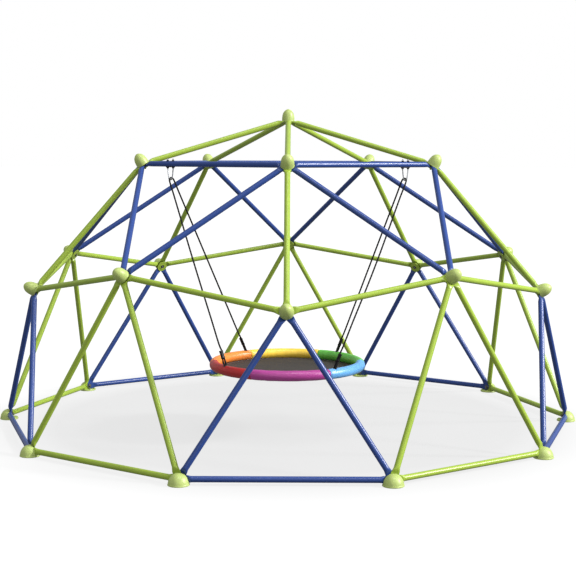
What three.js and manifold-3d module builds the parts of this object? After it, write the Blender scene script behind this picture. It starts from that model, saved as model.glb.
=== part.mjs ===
// Geodesic dome climber: 65 steel tubes on 26 hubs, standing on 10 moulded feet, with a saucer swing
// hung on two ropes from two of the crown bars. Millimetres, +Z up, origin on the ground under the top hub.
import * as THREE from 'three';
import { mergeVertices } from 'three/addons/utils/BufferGeometryUtils.js';
import Module from 'manifold-3d';

const wasm = await Module();
wasm.setup();

// ---------------------------------------------------------------- driving dimensions
const RING_R = 1780;            // radius of the base ring, to the bar axes
const AXIS_Z = 32;              // height of the base-bar axes over the ground
const TOP = { r: 0, z: 1.0495 };        // top hub, in units of RING_R
const CROWN = { r: 0.520, z: 0.8975 };  // five crown hubs
const WAIST_HIGH = { r: 0.851, z: 0.561 }; // five six-way waist hubs
const WAIST_LOW = { r: 0.891, z: 0.4775 }; // five five-way waist hubs
const BASE = { r: 1, z: 0 };            // ten ground hubs
const BASE_HALF = 18;           // degrees from a sector's middle to its ground hubs

const TUBE_R = 16.4;            // eight-sided tube, 32 across on average
const TAB_T = 3;                // half thickness of a flattened tube end
const TAB_W = 20;               // half width of a flattened tube end
const TAB_BEND = 46;            // where the flat end bends into the tube, from the hub axis
const TAB_ROUND = 101;          // where the tube is fully round
const TAB_IN = 8;               // where a flat end starts, from the hub axis
const TAB_OUT_OF_EYE = 14;      // the same, where another strut pair holds the bolt eye
const SHARE_GAP = 0.45;         // clearance between neighbouring flat ends
const EYE_IN = 7.5, EYE_OUT = 13; // eye round the bolt
const WEB = 1.6;                // how far two flat ends of one node run into each other near the bolt

const SLOT = 3.3;               // half width of the slot that the flat ends lie in
const CAP_R = 39, CAP_TOP = 83; // outer hub cap
const DISC_R = 38, DISC_T = 4;  // inner hub disc
const SHANK_R = 6;              // hub bolt

const FOOT_R = 57.5, FOOT_H = 64, FOOT_PLATE = 10;

const HANG_T = 0.205;           // hang point, as a share of the crown bar from its side hub
const ROD_R = 4, ROD_HALF = 21;
const HANGER_APEX = 94;         // hanger apex under the crown bar axis
const HANGER_BEND = 13.8;       // centreline radius of the hanger's lower bend
const HOLE_R = 5;
const ROPE_R = 5.25, ROPE_ARC = 20;
const ROPE_SEAT = HANGER_BEND - ROD_R - 1.15 * ROPE_R - 1.8; // rope centre from the centre of the hanger's lower bend
const ADJUST_R = 9, ADJUST_FROM = 75, ADJUST_TO = 128; // rope adjuster, distances up the strand from the ring
const SEAT_Y = -417.1, SEAT_Z = 427, SEAT_R = 440;     // centreline of the saucer's ring
const ROPE_AT = [37, 137, -145, -53]; // rope attachments round the saucer, from the front: right front, right back, left back, left front
const STEEL_R = 12.5, PAD_R = 31, PAD_IN = 15.5;       // steel ring, padded sleeve round it
const MAT_T = 1.5, MAT_DROP = 29.5, MAT_R = 434;       // half thickness of the mat, its depth under the ring's centreline
const SLOT_AT = -109, SLOT_HALF = 10;                  // slot in the sleeve's section that the mat's edge goes into, degrees from outwards

// ---------------------------------------------------------------- colours
const paint = (color, roughness, metalness = 0) => new THREE.MeshStandardMaterial({ color, roughness, metalness });
const GREEN = () => paint(0x9cc53c, 0.35), BLUE = () => paint(0x2f4596, 0.32), CAP = () => paint(0xbcd873, 0.45);
const BLACK = () => paint(0x1b1b1d, 0.5, 0.4), ZINC = () => paint(0xb9bcc0, 0.3, 0.9), ROPE = () => paint(0x161616, 0.85);
const PAD = () => paint(0xb02a6e, 0.6), MAT = () => paint(0x4b4846, 0.8);

const rad = THREE.MathUtils.degToRad;
const V = (x, y, z) => new THREE.Vector3(x, y, z);
const root = new THREE.Group();
function part(name, geometry, material) {
  const mesh = new THREE.Mesh(geometry, material);
  mesh.name = name;
  root.add(mesh);
  return mesh;
}

// ---------------------------------------------------------------- geometry helpers
// Closed loft through rings of equally many points; the end rings are closed flat.
function loft(rings) {
  const n = rings[0].length, p = [], t = [];
  for (const r of rings) for (const q of r) p.push(q.x, q.y, q.z);
  for (let i = 0; i + 1 < rings.length; i++) for (let j = 0; j < n; j++) {
    const a = i * n + j, b = i * n + (j + 1) % n, c = a + n, d = b + n;
    t.push(a, b, d, a, d, c);
  }
  const last = (rings.length - 1) * n;
  for (let j = 1; j + 1 < n; j++) { t.push(0, j + 1, j); t.push(last, last + j, last + j + 1); }
  return outward(p, t);
}

function outward(p, t) {
  let v = 0;
  for (let i = 0; i < t.length; i += 3) {
    const [a, b, c] = [t[i] * 3, t[i + 1] * 3, t[i + 2] * 3];
    v += p[a] * (p[b + 1] * p[c + 2] - p[b + 2] * p[c + 1]) - p[a + 1] * (p[b] * p[c + 2] - p[b + 2] * p[c])
      + p[a + 2] * (p[b] * p[c + 1] - p[b + 1] * p[c]);
  }
  if (v < 0) for (let i = 0; i < t.length; i += 3) [t[i], t[i + 1]] = [t[i + 1], t[i]];
  const g = new THREE.BufferGeometry();
  g.setAttribute('position', new THREE.Float32BufferAttribute(p, 3));
  g.setIndex(t);
  return g;
}

function solid(geometry) {
  let g = geometry.clone();
  g.deleteAttribute('normal');
  g.deleteAttribute('uv');
  g = mergeVertices(g, 1e-4);
  const m = new wasm.Mesh({
    numProp: 3,
    vertProperties: new Float32Array(g.attributes.position.array),
    triVerts: new Uint32Array(g.index.array),
  });
  m.merge();
  return new wasm.Manifold(m);
}

function geometryOf(man) {
  const m = man.getMesh();
  const g = new THREE.BufferGeometry();
  g.setAttribute('position', new THREE.BufferAttribute(new Float32Array(m.vertProperties), 3));
  g.setIndex(new THREE.BufferAttribute(new Uint32Array(m.triVerts), 1));
  return g;
}

const joined = (list) => list.map(solid).reduce((a, b) => a.add(b));

// Frame whose columns are x, y, z at a place.
const frame = (x, y, z, at) => new THREE.Matrix4().makeBasis(x, y, z).setPosition(at);

// A turned solid about a hub's axis: profile points are (radius, height along the axis).
function turned(profile, segments, axis, at, turn = 0) {
  const g = new THREE.LatheGeometry(profile.map(([r, h]) => new THREE.Vector2(r, h)), segments);
  g.rotateX(Math.PI / 2); // lathe axis Y to Z
  g.rotateZ(turn);
  const z = axis.clone().normalize();
  const x = (Math.abs(z.z) > 0.99 ? V(1, 0, 0) : V(0, 0, 1).cross(z)).normalize();
  const y = z.clone().cross(x);
  g.applyMatrix4(frame(x, y, z, at));
  let m = g;
  m.deleteAttribute('normal');
  m.deleteAttribute('uv');
  m = mergeVertices(m, 1e-4);
  const p = Array.from(m.attributes.position.array), t = [];
  const idx = m.index.array;
  for (let i = 0; i < idx.length; i += 3) {
    const [a, b, c] = [idx[i], idx[i + 1], idx[i + 2]];
    if (a !== b && b !== c && a !== c) t.push(a, b, c);
  }
  return outward(p, t);
}

// ---------------------------------------------------------------- hubs
const hubs = {};
function hub(name, { r, z }, azimuth, kind) {
  const a = rad(azimuth);
  hubs[name] = { name, kind, at: V(r * RING_R * Math.cos(a), r * RING_R * Math.sin(a), AXIS_Z + z * RING_R), azimuth, ends: [] };
}
const sector = (k) => -90 + 72 * ((k + 5) % 5);
hub('top', TOP, 0, 'top');
for (let k = 0; k < 5; k++) {
  hub(`r${k}`, CROWN, sector(k), 'crown');
  hub(`i${k}`, WAIST_LOW, sector(k), 'waist_low');
  hub(`m${k}`, WAIST_HIGH, sector(k) + 36, 'waist_high');
  hub(`R${k}`, BASE, sector(k) + BASE_HALF, 'foot');
  hub(`L${k}`, BASE, sector(k) - BASE_HALF, 'foot');
}

// ---------------------------------------------------------------- strut plan: node name, tubes, hub whose bolt eye it holds
const nodes = [];
const nx = (k) => (k + 1) % 5;
for (let k = 0; k < 5; k++) {
  const q = k + 1;
  nodes.push({ name: `green_rib_${q}`, color: GREEN, tubes: [['top', `r${k}`], [`r${k}`, `i${k}`]], eye: `r${k}` });
  nodes.push({ name: `blue_crown_truss_${q}`, color: BLUE, tubes: [[`r${k}`, `r${nx(k)}`], [`r${k}`, `m${k}`], [`r${nx(k)}`, `m${k}`]] });
  nodes.push({ name: `green_waist_truss_${q}`, color: GREEN, tubes: [[`i${k}`, `m${k}`], [`m${k}`, `i${nx(k)}`]], eye: `m${k}` });
  nodes.push({ name: `blue_leg_frame_${q}`, color: BLUE, tubes: [[`i${k}`, `L${k}`], [`i${k}`, `R${k}`], [`L${k}`, `R${k}`]] });
  nodes.push({ name: `green_leg_frame_${q}`, color: GREEN, tubes: [[`m${k}`, `R${k}`], [`m${k}`, `L${nx(k)}`], [`R${k}`, `L${nx(k)}`]] });
}
for (const node of nodes) for (const [a, b] of node.tubes) {
  hubs[a].ends.push({ node, to: hubs[b] });
  hubs[b].ends.push({ node, to: hubs[a] });
}

// Each hub's plane: its normal makes nearly the same angle with all of its tubes.
function smallestAxis(dirs) {
  const m = dirs.reduce((s, d) => s.add(d), V(0, 0, 0)).divideScalar(dirs.length);
  // the normal n has n·(d - m) = 0 as nearly as can be; found by steps from -m
  let n = m.clone().negate().normalize();
  for (let i = 0; i < 400; i++) {
    const g = V(0, 0, 0);
    for (const d of dirs) { const e = d.clone().sub(m); g.addScaledVector(e, e.dot(n)); }
    n.addScaledVector(g, -0.4).normalize();
  }
  return n;
}
for (const h of Object.values(hubs)) {
  const dirs = h.ends.map((e) => e.to.at.clone().sub(h.at).normalize());
  h.n = h.kind === 'foot' ? V(h.at.x, h.at.y, 0).normalize() : h.kind === 'top' ? V(0, 0, 1) : smallestAxis(dirs);
  h.x = (h.kind === 'top' ? V(1, 0, 0) : V(0, 0, 1).cross(h.n)).normalize();
  h.y = h.n.clone().cross(h.x);
  const slope = dirs.map((d) => -d.dot(h.n) / Math.sqrt(1 - d.dot(h.n) ** 2));
  h.drop = TAB_BEND * slope.reduce((a, b) => a + b) / slope.length;
  h.p = h.at.clone().addScaledVector(h.n, -h.drop); // where the bolt crosses the flat ends
  h.ends.forEach((e, i) => { e.turn = Math.atan2(dirs[i].dot(h.y), dirs[i].dot(h.x)); });
  const sorted = [...h.ends].sort((a, b) => a.turn - b.turn);
  sorted.forEach((e, i) => {
    const prev = sorted[(i + sorted.length - 1) % sorted.length], next = sorted[(i + 1) % sorted.length];
    const gap = (a, b) => (b - a + 4 * Math.PI) % (2 * Math.PI);
    e.share = { before: gap(prev.turn, e.turn) / 2, after: gap(e.turn, next.turn) / 2 };
    e.joins = { before: prev.node === e.node && prev !== e, after: next.node === e.node && next !== e };
    e.holdsEye = e.node.eye === h.name;
    e.from = h.ends.some((o) => o.node.eye === h.name) && !e.holdsEye ? TAB_OUT_OF_EYE : TAB_IN;
  });
}

// ---------------------------------------------------------------- tubes
const OCT = [...Array(8).keys()].map((i) => rad(22.5 + 45 * i));
function flatRing(center, s, n, [p, m], shift) {
  const a = p * 0.42, b = m * 0.42;
  const pts = [[p, TAB_T], [a, TAB_T], [-b, TAB_T], [-m, TAB_T], [-m, -TAB_T], [-b, -TAB_T], [a, -TAB_T], [p, -TAB_T]];
  return [...Array(8).keys()].map((i) => {
    const [x, y] = pts[(i + shift + 80) % 8];
    return center.clone().addScaledVector(s, x).addScaledVector(n, y);
  });
}
function roundRing(center, s, n, shift) {
  return [...Array(8).keys()].map((i) => {
    const a = OCT[(i + shift + 80) % 8];
    return center.clone().addScaledVector(s, TUBE_R * Math.cos(a)).addScaledVector(n, TUBE_R * Math.sin(a));
  });
}
function tube(nameA, nameB) {
  const A = hubs[nameA], B = hubs[nameB];
  const u = B.at.clone().sub(A.at).normalize();
  const end = (h, other, sign) => {
    const e = h.ends.find((o) => o.to === other);
    const out = other.at.clone().sub(h.at).normalize();
    const flat = out.clone().addScaledVector(h.n, -out.dot(h.n)).normalize();
    const s = u.clone().cross(h.n).normalize();
    const nt = s.clone().cross(u).normalize();
    const c = Math.sqrt(1 - out.dot(h.n) ** 2);
    // half widths on the two sides of the flat end; sign > 0 where the tube leaves this hub, so s points to the clockwise side
    const w = (side, r) => Math.min(TAB_W, r * Math.tan(e.share[side]) - SHARE_GAP);
    const at0 = (side) => (e.joins[side] && !e.holdsEye ? e.from * Math.tan(e.share[side]) + WEB : w(side, e.from));
    const sides = sign > 0 ? ['before', 'after'] : ['after', 'before'];
    const w0 = sides.map(at0), w1 = sides.map((side) => w(side, TAB_BEND));
    return {
      s, nt, n: h.n,
      start: h.p.clone().addScaledVector(flat, e.from),
      bend: h.p.clone().addScaledVector(flat, TAB_BEND),
      round: h.at.clone().addScaledVector(out, TAB_ROUND / c),
      w0, w1,
    };
  };
  const a = end(A, B, 1), b = end(B, A, -1);
  const twist = Math.atan2(a.nt.clone().cross(b.nt).dot(u), a.nt.dot(b.nt));
  // index shift so that the two ends' sections line up along the tube
  const k = -Math.round(twist / rad(45));
  return loft([
    flatRing(a.start, a.s, a.n, a.w0, 0),
    flatRing(a.bend, a.s, a.n, a.w1, 0),
    roundRing(a.round, a.s, a.nt, 0),
    roundRing(b.round, b.s, b.nt, k),
    flatRing(b.bend, b.s, b.n, b.w1, k),
    flatRing(b.start, b.s, b.n, b.w0, k),
  ]);
}

const eye = (h) => turned([[EYE_IN, -2.6], [EYE_OUT, -2.6], [EYE_OUT, 2.6], [EYE_IN, 2.6], [EYE_IN, -2.6]], 10, h.n, h.p);

// ---------------------------------------------------------------- swing hangers
function hangPoint(side) { // side -1 is the one at -X
  const from = hubs[side < 0 ? 'r4' : 'r1'].at, to = hubs.r0.at;
  const at = from.clone().lerp(to, HANG_T);
  const along = to.clone().sub(from).normalize();
  if (along.x < 0) along.negate();
  return { at, along };
}
const hang = { left: hangPoint(-1), right: hangPoint(1) };
function upright(radius, sides, z0, z1, at) {
  const g = new THREE.CylinderGeometry(radius, radius, z1 - z0, sides);
  g.rotateX(Math.PI / 2);
  g.translate(at.x, at.y, at.z + (z0 + z1) / 2);
  return g;
}
const holes = (hp) => [-1, 1].map((q) => upright(HOLE_R, 8, -40, 40, hp.at.clone().addScaledVector(hp.along, q * ROD_HALF)));

// Round bar along points, with a radius at each.
function bar(points, radii, sides, fixed) {
  const rings = [];
  let n = fixed.clone();
  for (let i = 0; i < points.length; i++) {
    const t = V(0, 0, 0);
    if (i > 0) t.add(points[i].clone().sub(points[i - 1]).normalize());
    if (i + 1 < points.length) t.add(points[i + 1].clone().sub(points[i]).normalize());
    t.normalize();
    n = n.clone().addScaledVector(t, -n.dot(t)).normalize();
    const s = t.clone().cross(n);
    rings.push([...Array(sides).keys()].map((j) => {
      const a = (2 * Math.PI * (j + 0.5)) / sides;
      return points[i].clone().addScaledVector(s, radii[i] * Math.cos(a)).addScaledVector(n, radii[i] * Math.sin(a));
    }));
  }
  return loft(rings);
}

function hanger(hp) {
  const side = hp.along.clone().cross(V(0, 0, 1));
  const at = (s, z) => hp.at.clone().addScaledVector(hp.along, s).add(V(0, 0, z));
  const half = [[ROD_HALF, 31], [ROD_HALF, -30]];
  // the straight leg meets the lower bend along a tangent
  const cz = -HANGER_APEX + HANGER_BEND, dx = ROD_HALF, dz = -30 - cz, dist = Math.hypot(dx, dz);
  const a0 = Math.atan2(dz, dx) - Math.acos(HANGER_BEND / dist);
  for (let i = 0; i <= 4; i++) { const a = a0 + (-Math.PI / 2 - a0) * (i / 4); half.push([HANGER_BEND * Math.cos(a), cz + HANGER_BEND * Math.sin(a)]); }
  const pts = [...half.map(([s, z]) => at(s, z)), ...half.slice(0, -1).reverse().map(([s, z]) => at(-s, z))];
  const list = [bar(pts, pts.map(() => ROD_R), 6, side)];
  for (const q of [-1, 1]) list.push(upright(8, 6, 17, 25, hp.at.clone().addScaledVector(hp.along, q * ROD_HALF)));
  return geometryOf(joined(list));
}

function saddle(hp) {
  const g = new THREE.BoxGeometry(66, 16, 4);
  g.applyMatrix4(frame(hp.along, V(0, 0, 1).cross(hp.along), V(0, 0, 1), hp.at.clone().add(V(0, 0, -19.2))));
  const ends = [-1, 1].map((q) => hp.at.clone().addScaledVector(hp.along, q * ROD_HALF));
  let m = joined([g, ...ends.map((p) => upright(8, 6, -27.5, -20, p))]);
  for (const c of holes(hp)) m = m.subtract(solid(c));
  return geometryOf(m);
}

// ---------------------------------------------------------------- build the tubes
for (const node of nodes) {
  const list = node.tubes.map(([a, b]) => tube(a, b));
  if (node.eye) list.push(eye(hubs[node.eye]));
  let m = joined(list);
  if (node.name === 'blue_crown_truss_5') for (const c of holes(hang.left)) m = m.subtract(solid(c));
  if (node.name === 'blue_crown_truss_1') for (const c of holes(hang.right)) m = m.subtract(solid(c));
  part(node.name, geometryOf(m), node.color());
}

// ---------------------------------------------------------------- hub caps: outer cap, bolt and inner disc in one turned body
const CAP_PROFILE = [[0, -12.5], [8, -12.5], [8, -SLOT - DISC_T], [DISC_R, -SLOT - DISC_T], [DISC_R, -SLOT], [SHANK_R, -SLOT],
  [SHANK_R, SLOT], [CAP_R, SLOT], [38.6, 24], [36, 44], [30, 62], [18.5, 76], [0, CAP_TOP]];
const label = { top: () => 'hub_top', r: (k) => `hub_crown_${k}`, m: (k) => `hub_waist_high_${k}`, i: (k) => `hub_waist_low_${k}` };
for (const h of Object.values(hubs)) {
  if (h.kind === 'foot') continue;
  const q = Number(h.name.slice(1)) + 1;
  const name = h.kind === 'top' ? label.top() : label[h.name[0]](q);
  part(name, turned(CAP_PROFILE, 10, h.n, h.p), CAP());
}

// ---------------------------------------------------------------- feet: half dome outside the flat ends, plate under them, bolt through them
function foot(h) {
  const center = V(h.at.x, h.at.y, 0);
  const dome = turned([[0, 0], [FOOT_R - 1.5, 0], [FOOT_R, 7], [54, 24], [44.5, 42], [27, 57.5], [0, FOOT_H]], 14, V(0, 0, 1), center, Math.atan2(h.n.y, h.n.x));
  const cut = new THREE.BoxGeometry(200, 200, 100);
  cut.translate(0, 0, FOOT_PLATE + 50);
  cut.applyMatrix4(frame(h.n, V(0, 0, 1).cross(h.n), V(0, 0, 1), center.clone().addScaledVector(h.n, -h.drop + SLOT - 100)));
  const bolt = turned([[0, -26], [8, -26], [8, -SLOT - 3], [16, -SLOT - 3], [16, -SLOT], [SHANK_R, -SLOT], [SHANK_R, 12], [0, 12]], 10, h.n, h.p);
  return geometryOf(solid(dome).subtract(solid(cut)).add(solid(bolt)));
}
for (let k = 0; k < 5; k++) {
  part(`foot_${2 * k + 1}`, foot(hubs[`L${k}`]), CAP());
  part(`foot_${2 * k + 2}`, foot(hubs[`R${k}`]), CAP());
}

// ---------------------------------------------------------------- hangers and saucer swing
for (const [name, hp] of Object.entries(hang)) {
  part(`swing_hanger_${name}`, hanger(hp), ZINC());
  part(`hanger_saddle_${name}`, saddle(hp), BLACK());
}

const seatCenter = V(0, SEAT_Y, SEAT_Z);
const ringPoint = (deg, r = SEAT_R, dz = 0) => V(r * Math.sin(rad(deg)), -r * Math.cos(rad(deg)), dz).add(seatCenter);
// One rope a side: up from the front of the ring, over the hanger and down to the back of the ring.
function rope(hp, frontDeg, backDeg) {
  const apex = hp.at.clone().add(V(0, 0, -HANGER_APEX));
  const f = ringPoint(frontDeg), b = ringPoint(backDeg);
  const down = f.clone().add(b).multiplyScalar(0.5).sub(apex).normalize();
  const up = down.clone().negate();
  const top = apex.clone().add(V(0, 0, HANGER_BEND)).addScaledVector(down, ROPE_SEAT);
  const c = top.clone().addScaledVector(down, ROPE_ARC);
  // the arc crosses the hanger squarely
  const q = V(0, 0, 1).cross(hp.along).normalize();
  q.addScaledVector(down, -q.dot(down)).normalize();
  const pts = [], radii = [];
  const strand = (end, sign) => {
    // tangent from the ring point to the arc
    const d = end.clone().sub(c), x = d.dot(q) * sign, y = d.dot(up), dist = Math.hypot(x, y);
    const a = Math.atan2(y, x) + Math.acos(ROPE_ARC / dist);
    const leave = c.clone().addScaledVector(q, sign * ROPE_ARC * Math.cos(a)).addScaledVector(up, ROPE_ARC * Math.sin(a));
    const dir = leave.clone().sub(end).normalize(), long = leave.distanceTo(end);
    // the strand ends where it is clear of the padded ring
    const off = (t) => { const x = end.clone().addScaledVector(dir, t).sub(seatCenter); return Math.hypot(Math.hypot(x.x, x.y) - SEAT_R, x.z); };
    let start = PAD_R;
    while (off(start) < PAD_R + 3.5) start += 0.25;
    const stops = [[start, ROPE_R], [ADJUST_FROM, ROPE_R], [ADJUST_FROM + 4, ADJUST_R], [ADJUST_TO - 4, ADJUST_R], [ADJUST_TO, ROPE_R],
      [0.4 * long, ROPE_R], [0.7 * long, ROPE_R], [long - 40, ROPE_R]];
    return { a, stops: stops.map(([s, r]) => [end.clone().addScaledVector(dir, s), r]) };
  };
  const F = strand(f, -1), B = strand(b, 1);
  for (const [p, r] of F.stops) { pts.push(p); radii.push(r); }
  const steps = 8, a0 = Math.PI - F.a, a1 = B.a;
  for (let i = 0; i <= steps; i++) {
    const a = a0 + (a1 - a0) * (i / steps);
    pts.push(c.clone().addScaledVector(q, ROPE_ARC * Math.cos(a)).addScaledVector(up, ROPE_ARC * Math.sin(a)));
    radii.push(ROPE_R);
  }
  for (const [p, r] of B.stops.reverse()) { pts.push(p); radii.push(r); }
  return bar(pts, radii, 8, q.clone().cross(up));
}
const [RF, RB, LB, LF] = ROPE_AT;
part('rope_left', rope(hang.left, LF, LB), ROPE());
part('rope_right', rope(hang.right, RF, RB), ROPE());

const steel = [...Array(7).keys()].map((i) => [SEAT_R + STEEL_R * Math.cos(rad(60 * i)), STEEL_R * Math.sin(rad(60 * i))]);
part('seat_ring', turned(steel, 24, V(0, 0, 1), seatCenter), ZINC());

// Padded sleeve: a C section, open at the underside, where the mat's edge goes in.
const arcPts = (r, half, n) => [...Array(n + 1).keys()].map((i) => {
  const a = rad(SLOT_AT) + half + (2 * Math.PI - 2 * half) * (i / n);
  return [SEAT_R + r * Math.cos(a), r * Math.sin(a)];
});
const section = [...arcPts(PAD_R, rad(SLOT_HALF), 10), ...arcPts(PAD_IN, rad(2 * SLOT_HALF), 6).reverse()];
part('seat_sleeve', turned([...section, section[0]], 24, V(0, 0, 1), seatCenter), PAD());
part('seat_mat', turned([[0, -MAT_DROP - MAT_T], [MAT_R, -MAT_DROP - MAT_T], [MAT_R, -MAT_DROP + MAT_T], [0, -MAT_DROP + MAT_T]], 24, V(0, 0, 1), seatCenter), MAT());

export default root;
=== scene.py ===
import math

import bmesh
import bpy
import numpy as np
from mathutils import Matrix, Vector


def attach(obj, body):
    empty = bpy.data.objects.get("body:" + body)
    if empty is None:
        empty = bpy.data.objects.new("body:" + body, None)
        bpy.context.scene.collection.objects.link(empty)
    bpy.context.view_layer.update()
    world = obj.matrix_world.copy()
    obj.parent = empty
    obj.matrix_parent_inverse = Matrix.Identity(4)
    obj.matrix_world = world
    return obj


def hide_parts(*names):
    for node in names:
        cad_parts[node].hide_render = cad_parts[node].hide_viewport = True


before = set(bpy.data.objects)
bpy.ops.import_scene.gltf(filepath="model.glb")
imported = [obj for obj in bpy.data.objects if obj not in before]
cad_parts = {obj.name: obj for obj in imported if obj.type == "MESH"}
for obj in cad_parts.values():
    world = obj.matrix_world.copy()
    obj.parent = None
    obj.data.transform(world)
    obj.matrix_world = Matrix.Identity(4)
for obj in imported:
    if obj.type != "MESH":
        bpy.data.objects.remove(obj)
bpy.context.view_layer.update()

# ------------------------------------------------------------------ sizes, as in the CAD source, in metres
RING_R, AXIS_Z = 1.780, 0.032
TOP, CROWN, WAIST_HIGH, WAIST_LOW, BASE = (0, 1.0495), (0.520, 0.8975), (0.851, 0.561), (0.891, 0.4775), (1, 0)
TAB_BEND = 0.046
HANG_T, ROD_HALF, ROD_R = 0.205, 0.021, 0.004
HANGER_APEX, HANGER_BEND = 0.094, 0.0138
ROPE_R, ROPE_ARC = 0.0052, 0.020
SEAT = np.array([0, -0.4171, 0.427])
SEAT_R, PAD_R, MAT_DROP = 0.440, 0.031, 0.0295
HINGE = np.array([0, -0.4171, 1.5356])
MM = 0.001
rng = np.random.default_rng(7)
D = math.pi / 180
UP = np.array([0.0, 0.0, 1.0])


def unit(v):
    v = np.asarray(v, float)
    return v / np.linalg.norm(v)


# ------------------------------------------------------------------ camera, at the photograph's viewing angle
cam_data = bpy.data.cameras.new("camera")
cam_data.lens, cam_data.sensor_width = 82.57, 36
cam = bpy.data.objects.new("camera", cam_data)
bpy.context.scene.collection.objects.link(cam)
yaw, pitch, roll = 0.21 * D, 5.77 * D, 0.17 * D
fwd = np.array([-math.sin(yaw) * math.cos(pitch), math.cos(yaw) * math.cos(pitch), -math.sin(pitch)])
right = np.array([math.cos(yaw), math.sin(yaw), 0])
upv = np.cross(right, fwd)
r2 = right * math.cos(roll) + upv * math.sin(roll)
u2 = -right * math.sin(roll) + upv * math.cos(roll)
m = Matrix.Identity(4)
for i in range(3):
    m[i][0], m[i][1], m[i][2] = r2[i], u2[i], -fwd[i]
m[0][3], m[1][3], m[2][3] = 0.018 * RING_R, -4.676 * RING_R, 0.930 * RING_R + AXIS_Z
cam.matrix_world = m
bpy.context.scene.camera = cam


# ------------------------------------------------------------------ mesh helpers
def link(obj):
    bpy.context.scene.collection.objects.link(obj)
    return obj


def mesh_object(name, verts, faces, mat, sharp=38, uv=None, mats=None, face_mat=None):
    me = bpy.data.meshes.new(name)
    me.from_pydata([tuple(map(float, v)) for v in verts], [], [tuple(map(int, f)) for f in faces])
    me.validate()
    if uv is not None:
        layer = me.uv_layers.new(name="uv")
        idx = np.zeros(len(me.loops), np.int32)
        me.loops.foreach_get("vertex_index", idx)
        layer.data.foreach_set("uv", np.asarray(uv, np.float32)[idx].reshape(-1))
    for x in mats or [mat]:
        me.materials.append(x)
    if face_mat is not None:
        me.polygons.foreach_set("material_index", np.asarray(face_mat, np.int32))
    me.polygons.foreach_set("use_smooth", np.ones(len(me.polygons), bool))
    bm = bmesh.new()
    bm.from_mesh(me)
    bmesh.ops.recalc_face_normals(bm, faces=bm.faces)
    bm.to_mesh(me)
    bm.free()
    me.set_sharp_from_angle(angle=sharp * D)
    return link(bpy.data.objects.new(name, me))


def loft(rings, close_ends=True, cyclic=False, base=0):
    """Vertices and faces of a skin through rings of equally many points."""
    rings = np.asarray(rings, float)
    k, n = rings.shape[:2]
    verts = rings.reshape(-1, 3)
    faces = []
    last = k if cyclic else k - 1
    for i in range(last):
        a0, b0 = base + i * n, base + ((i + 1) % k) * n
        for j in range(n):
            j2 = (j + 1) % n
            faces.append((a0 + j, a0 + j2, b0 + j2, b0 + j))
    if close_ends and not cyclic:
        faces.append(tuple(base + j for j in range(n))[::-1])
        faces.append(tuple(base + (k - 1) * n + j for j in range(n)))
    return verts, faces


def axes_for(axis, x_hint=None):
    z = unit(axis)
    x = np.cross(UP, z) if x_hint is None else np.asarray(x_hint, float) - z * np.dot(x_hint, z)
    if np.linalg.norm(x) < 1e-6:
        x = np.array([1.0, 0, 0])
    x = unit(x)
    return x, np.cross(z, x), z


def lathe(profile, segs, axis=UP, at=(0, 0, 0), turn=0.0, x_hint=None):
    """A turned solid; profile points are (radius, height along axis), from the axis and back to it."""
    x, y, z = axes_for(axis, x_hint)
    at = np.asarray(at, float)
    ang = turn + np.linspace(0, 2 * math.pi, segs, endpoint=False)
    verts, faces, rows = [], [], []
    for r, h in profile:
        if r < 1e-7:
            rows.append([len(verts)])
            verts.append(at + z * h)
        else:
            rows.append(list(range(len(verts), len(verts) + segs)))
            verts.extend(at + z * h + r * (x * math.cos(a) + y * math.sin(a)) for a in ang)
    closed = len(rows[0]) > 1 and len(rows[-1]) > 1
    pairs = list(zip(rows, rows[1:])) + ([(rows[-1], rows[0])] if closed else [])
    for a, b in pairs:
        for j in range(segs):
            j2 = (j + 1) % segs
            if len(a) == 1 and len(b) == 1:
                continue
            if len(a) == 1:
                faces.append((a[0], b[j2], b[j]))
            elif len(b) == 1:
                faces.append((a[j], a[j2], b[0]))
            else:
                faces.append((a[j], a[j2], b[j2], b[j]))
    return np.array(verts), faces


def smooth_profile(points, times=2):
    """Rounds the corners of an open profile, keeping its ends."""
    p = np.array(points, float)
    for _ in range(times):
        q = [p[0]]
        for a, b in zip(p, p[1:]):
            q += [a * 0.75 + b * 0.25, a * 0.25 + b * 0.75]
        q.append(p[-1])
        p = np.array(q)
    return p


def frames_along(points, start_normal):
    """Tangents and a carried normal along a line."""
    p = np.asarray(points, float)
    t = np.gradient(p, axis=0)
    t /= np.linalg.norm(t, axis=1)[:, None]
    n = np.zeros_like(p)
    cur = unit(start_normal)
    for i in range(len(p)):
        cur = unit(cur - t[i] * np.dot(cur, t[i]))
        n[i] = cur
    return t, n, np.cross(t, n)


def sweep(points, radii, sides, start_normal, shape=None):
    t, n, b = frames_along(points, start_normal)
    a = np.linspace(0, 2 * math.pi, sides, endpoint=False)
    radii = np.broadcast_to(np.asarray(radii, float), (len(points),))
    rings = []
    for i, p in enumerate(np.asarray(points, float)):
        r = radii[i] * (np.ones(sides) if shape is None else shape(i, a))
        rings.append(p + np.outer(r * np.cos(a), n[i]) + np.outer(r * np.sin(a), b[i]))
    return np.array(rings)


def merge(parts):
    verts, faces, n = [], [], 0
    for v, f in parts:
        verts.append(np.asarray(v, float))
        faces += [tuple(i + n for i in x) for x in f]
        n += len(v)
    return np.concatenate(verts), faces


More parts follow.
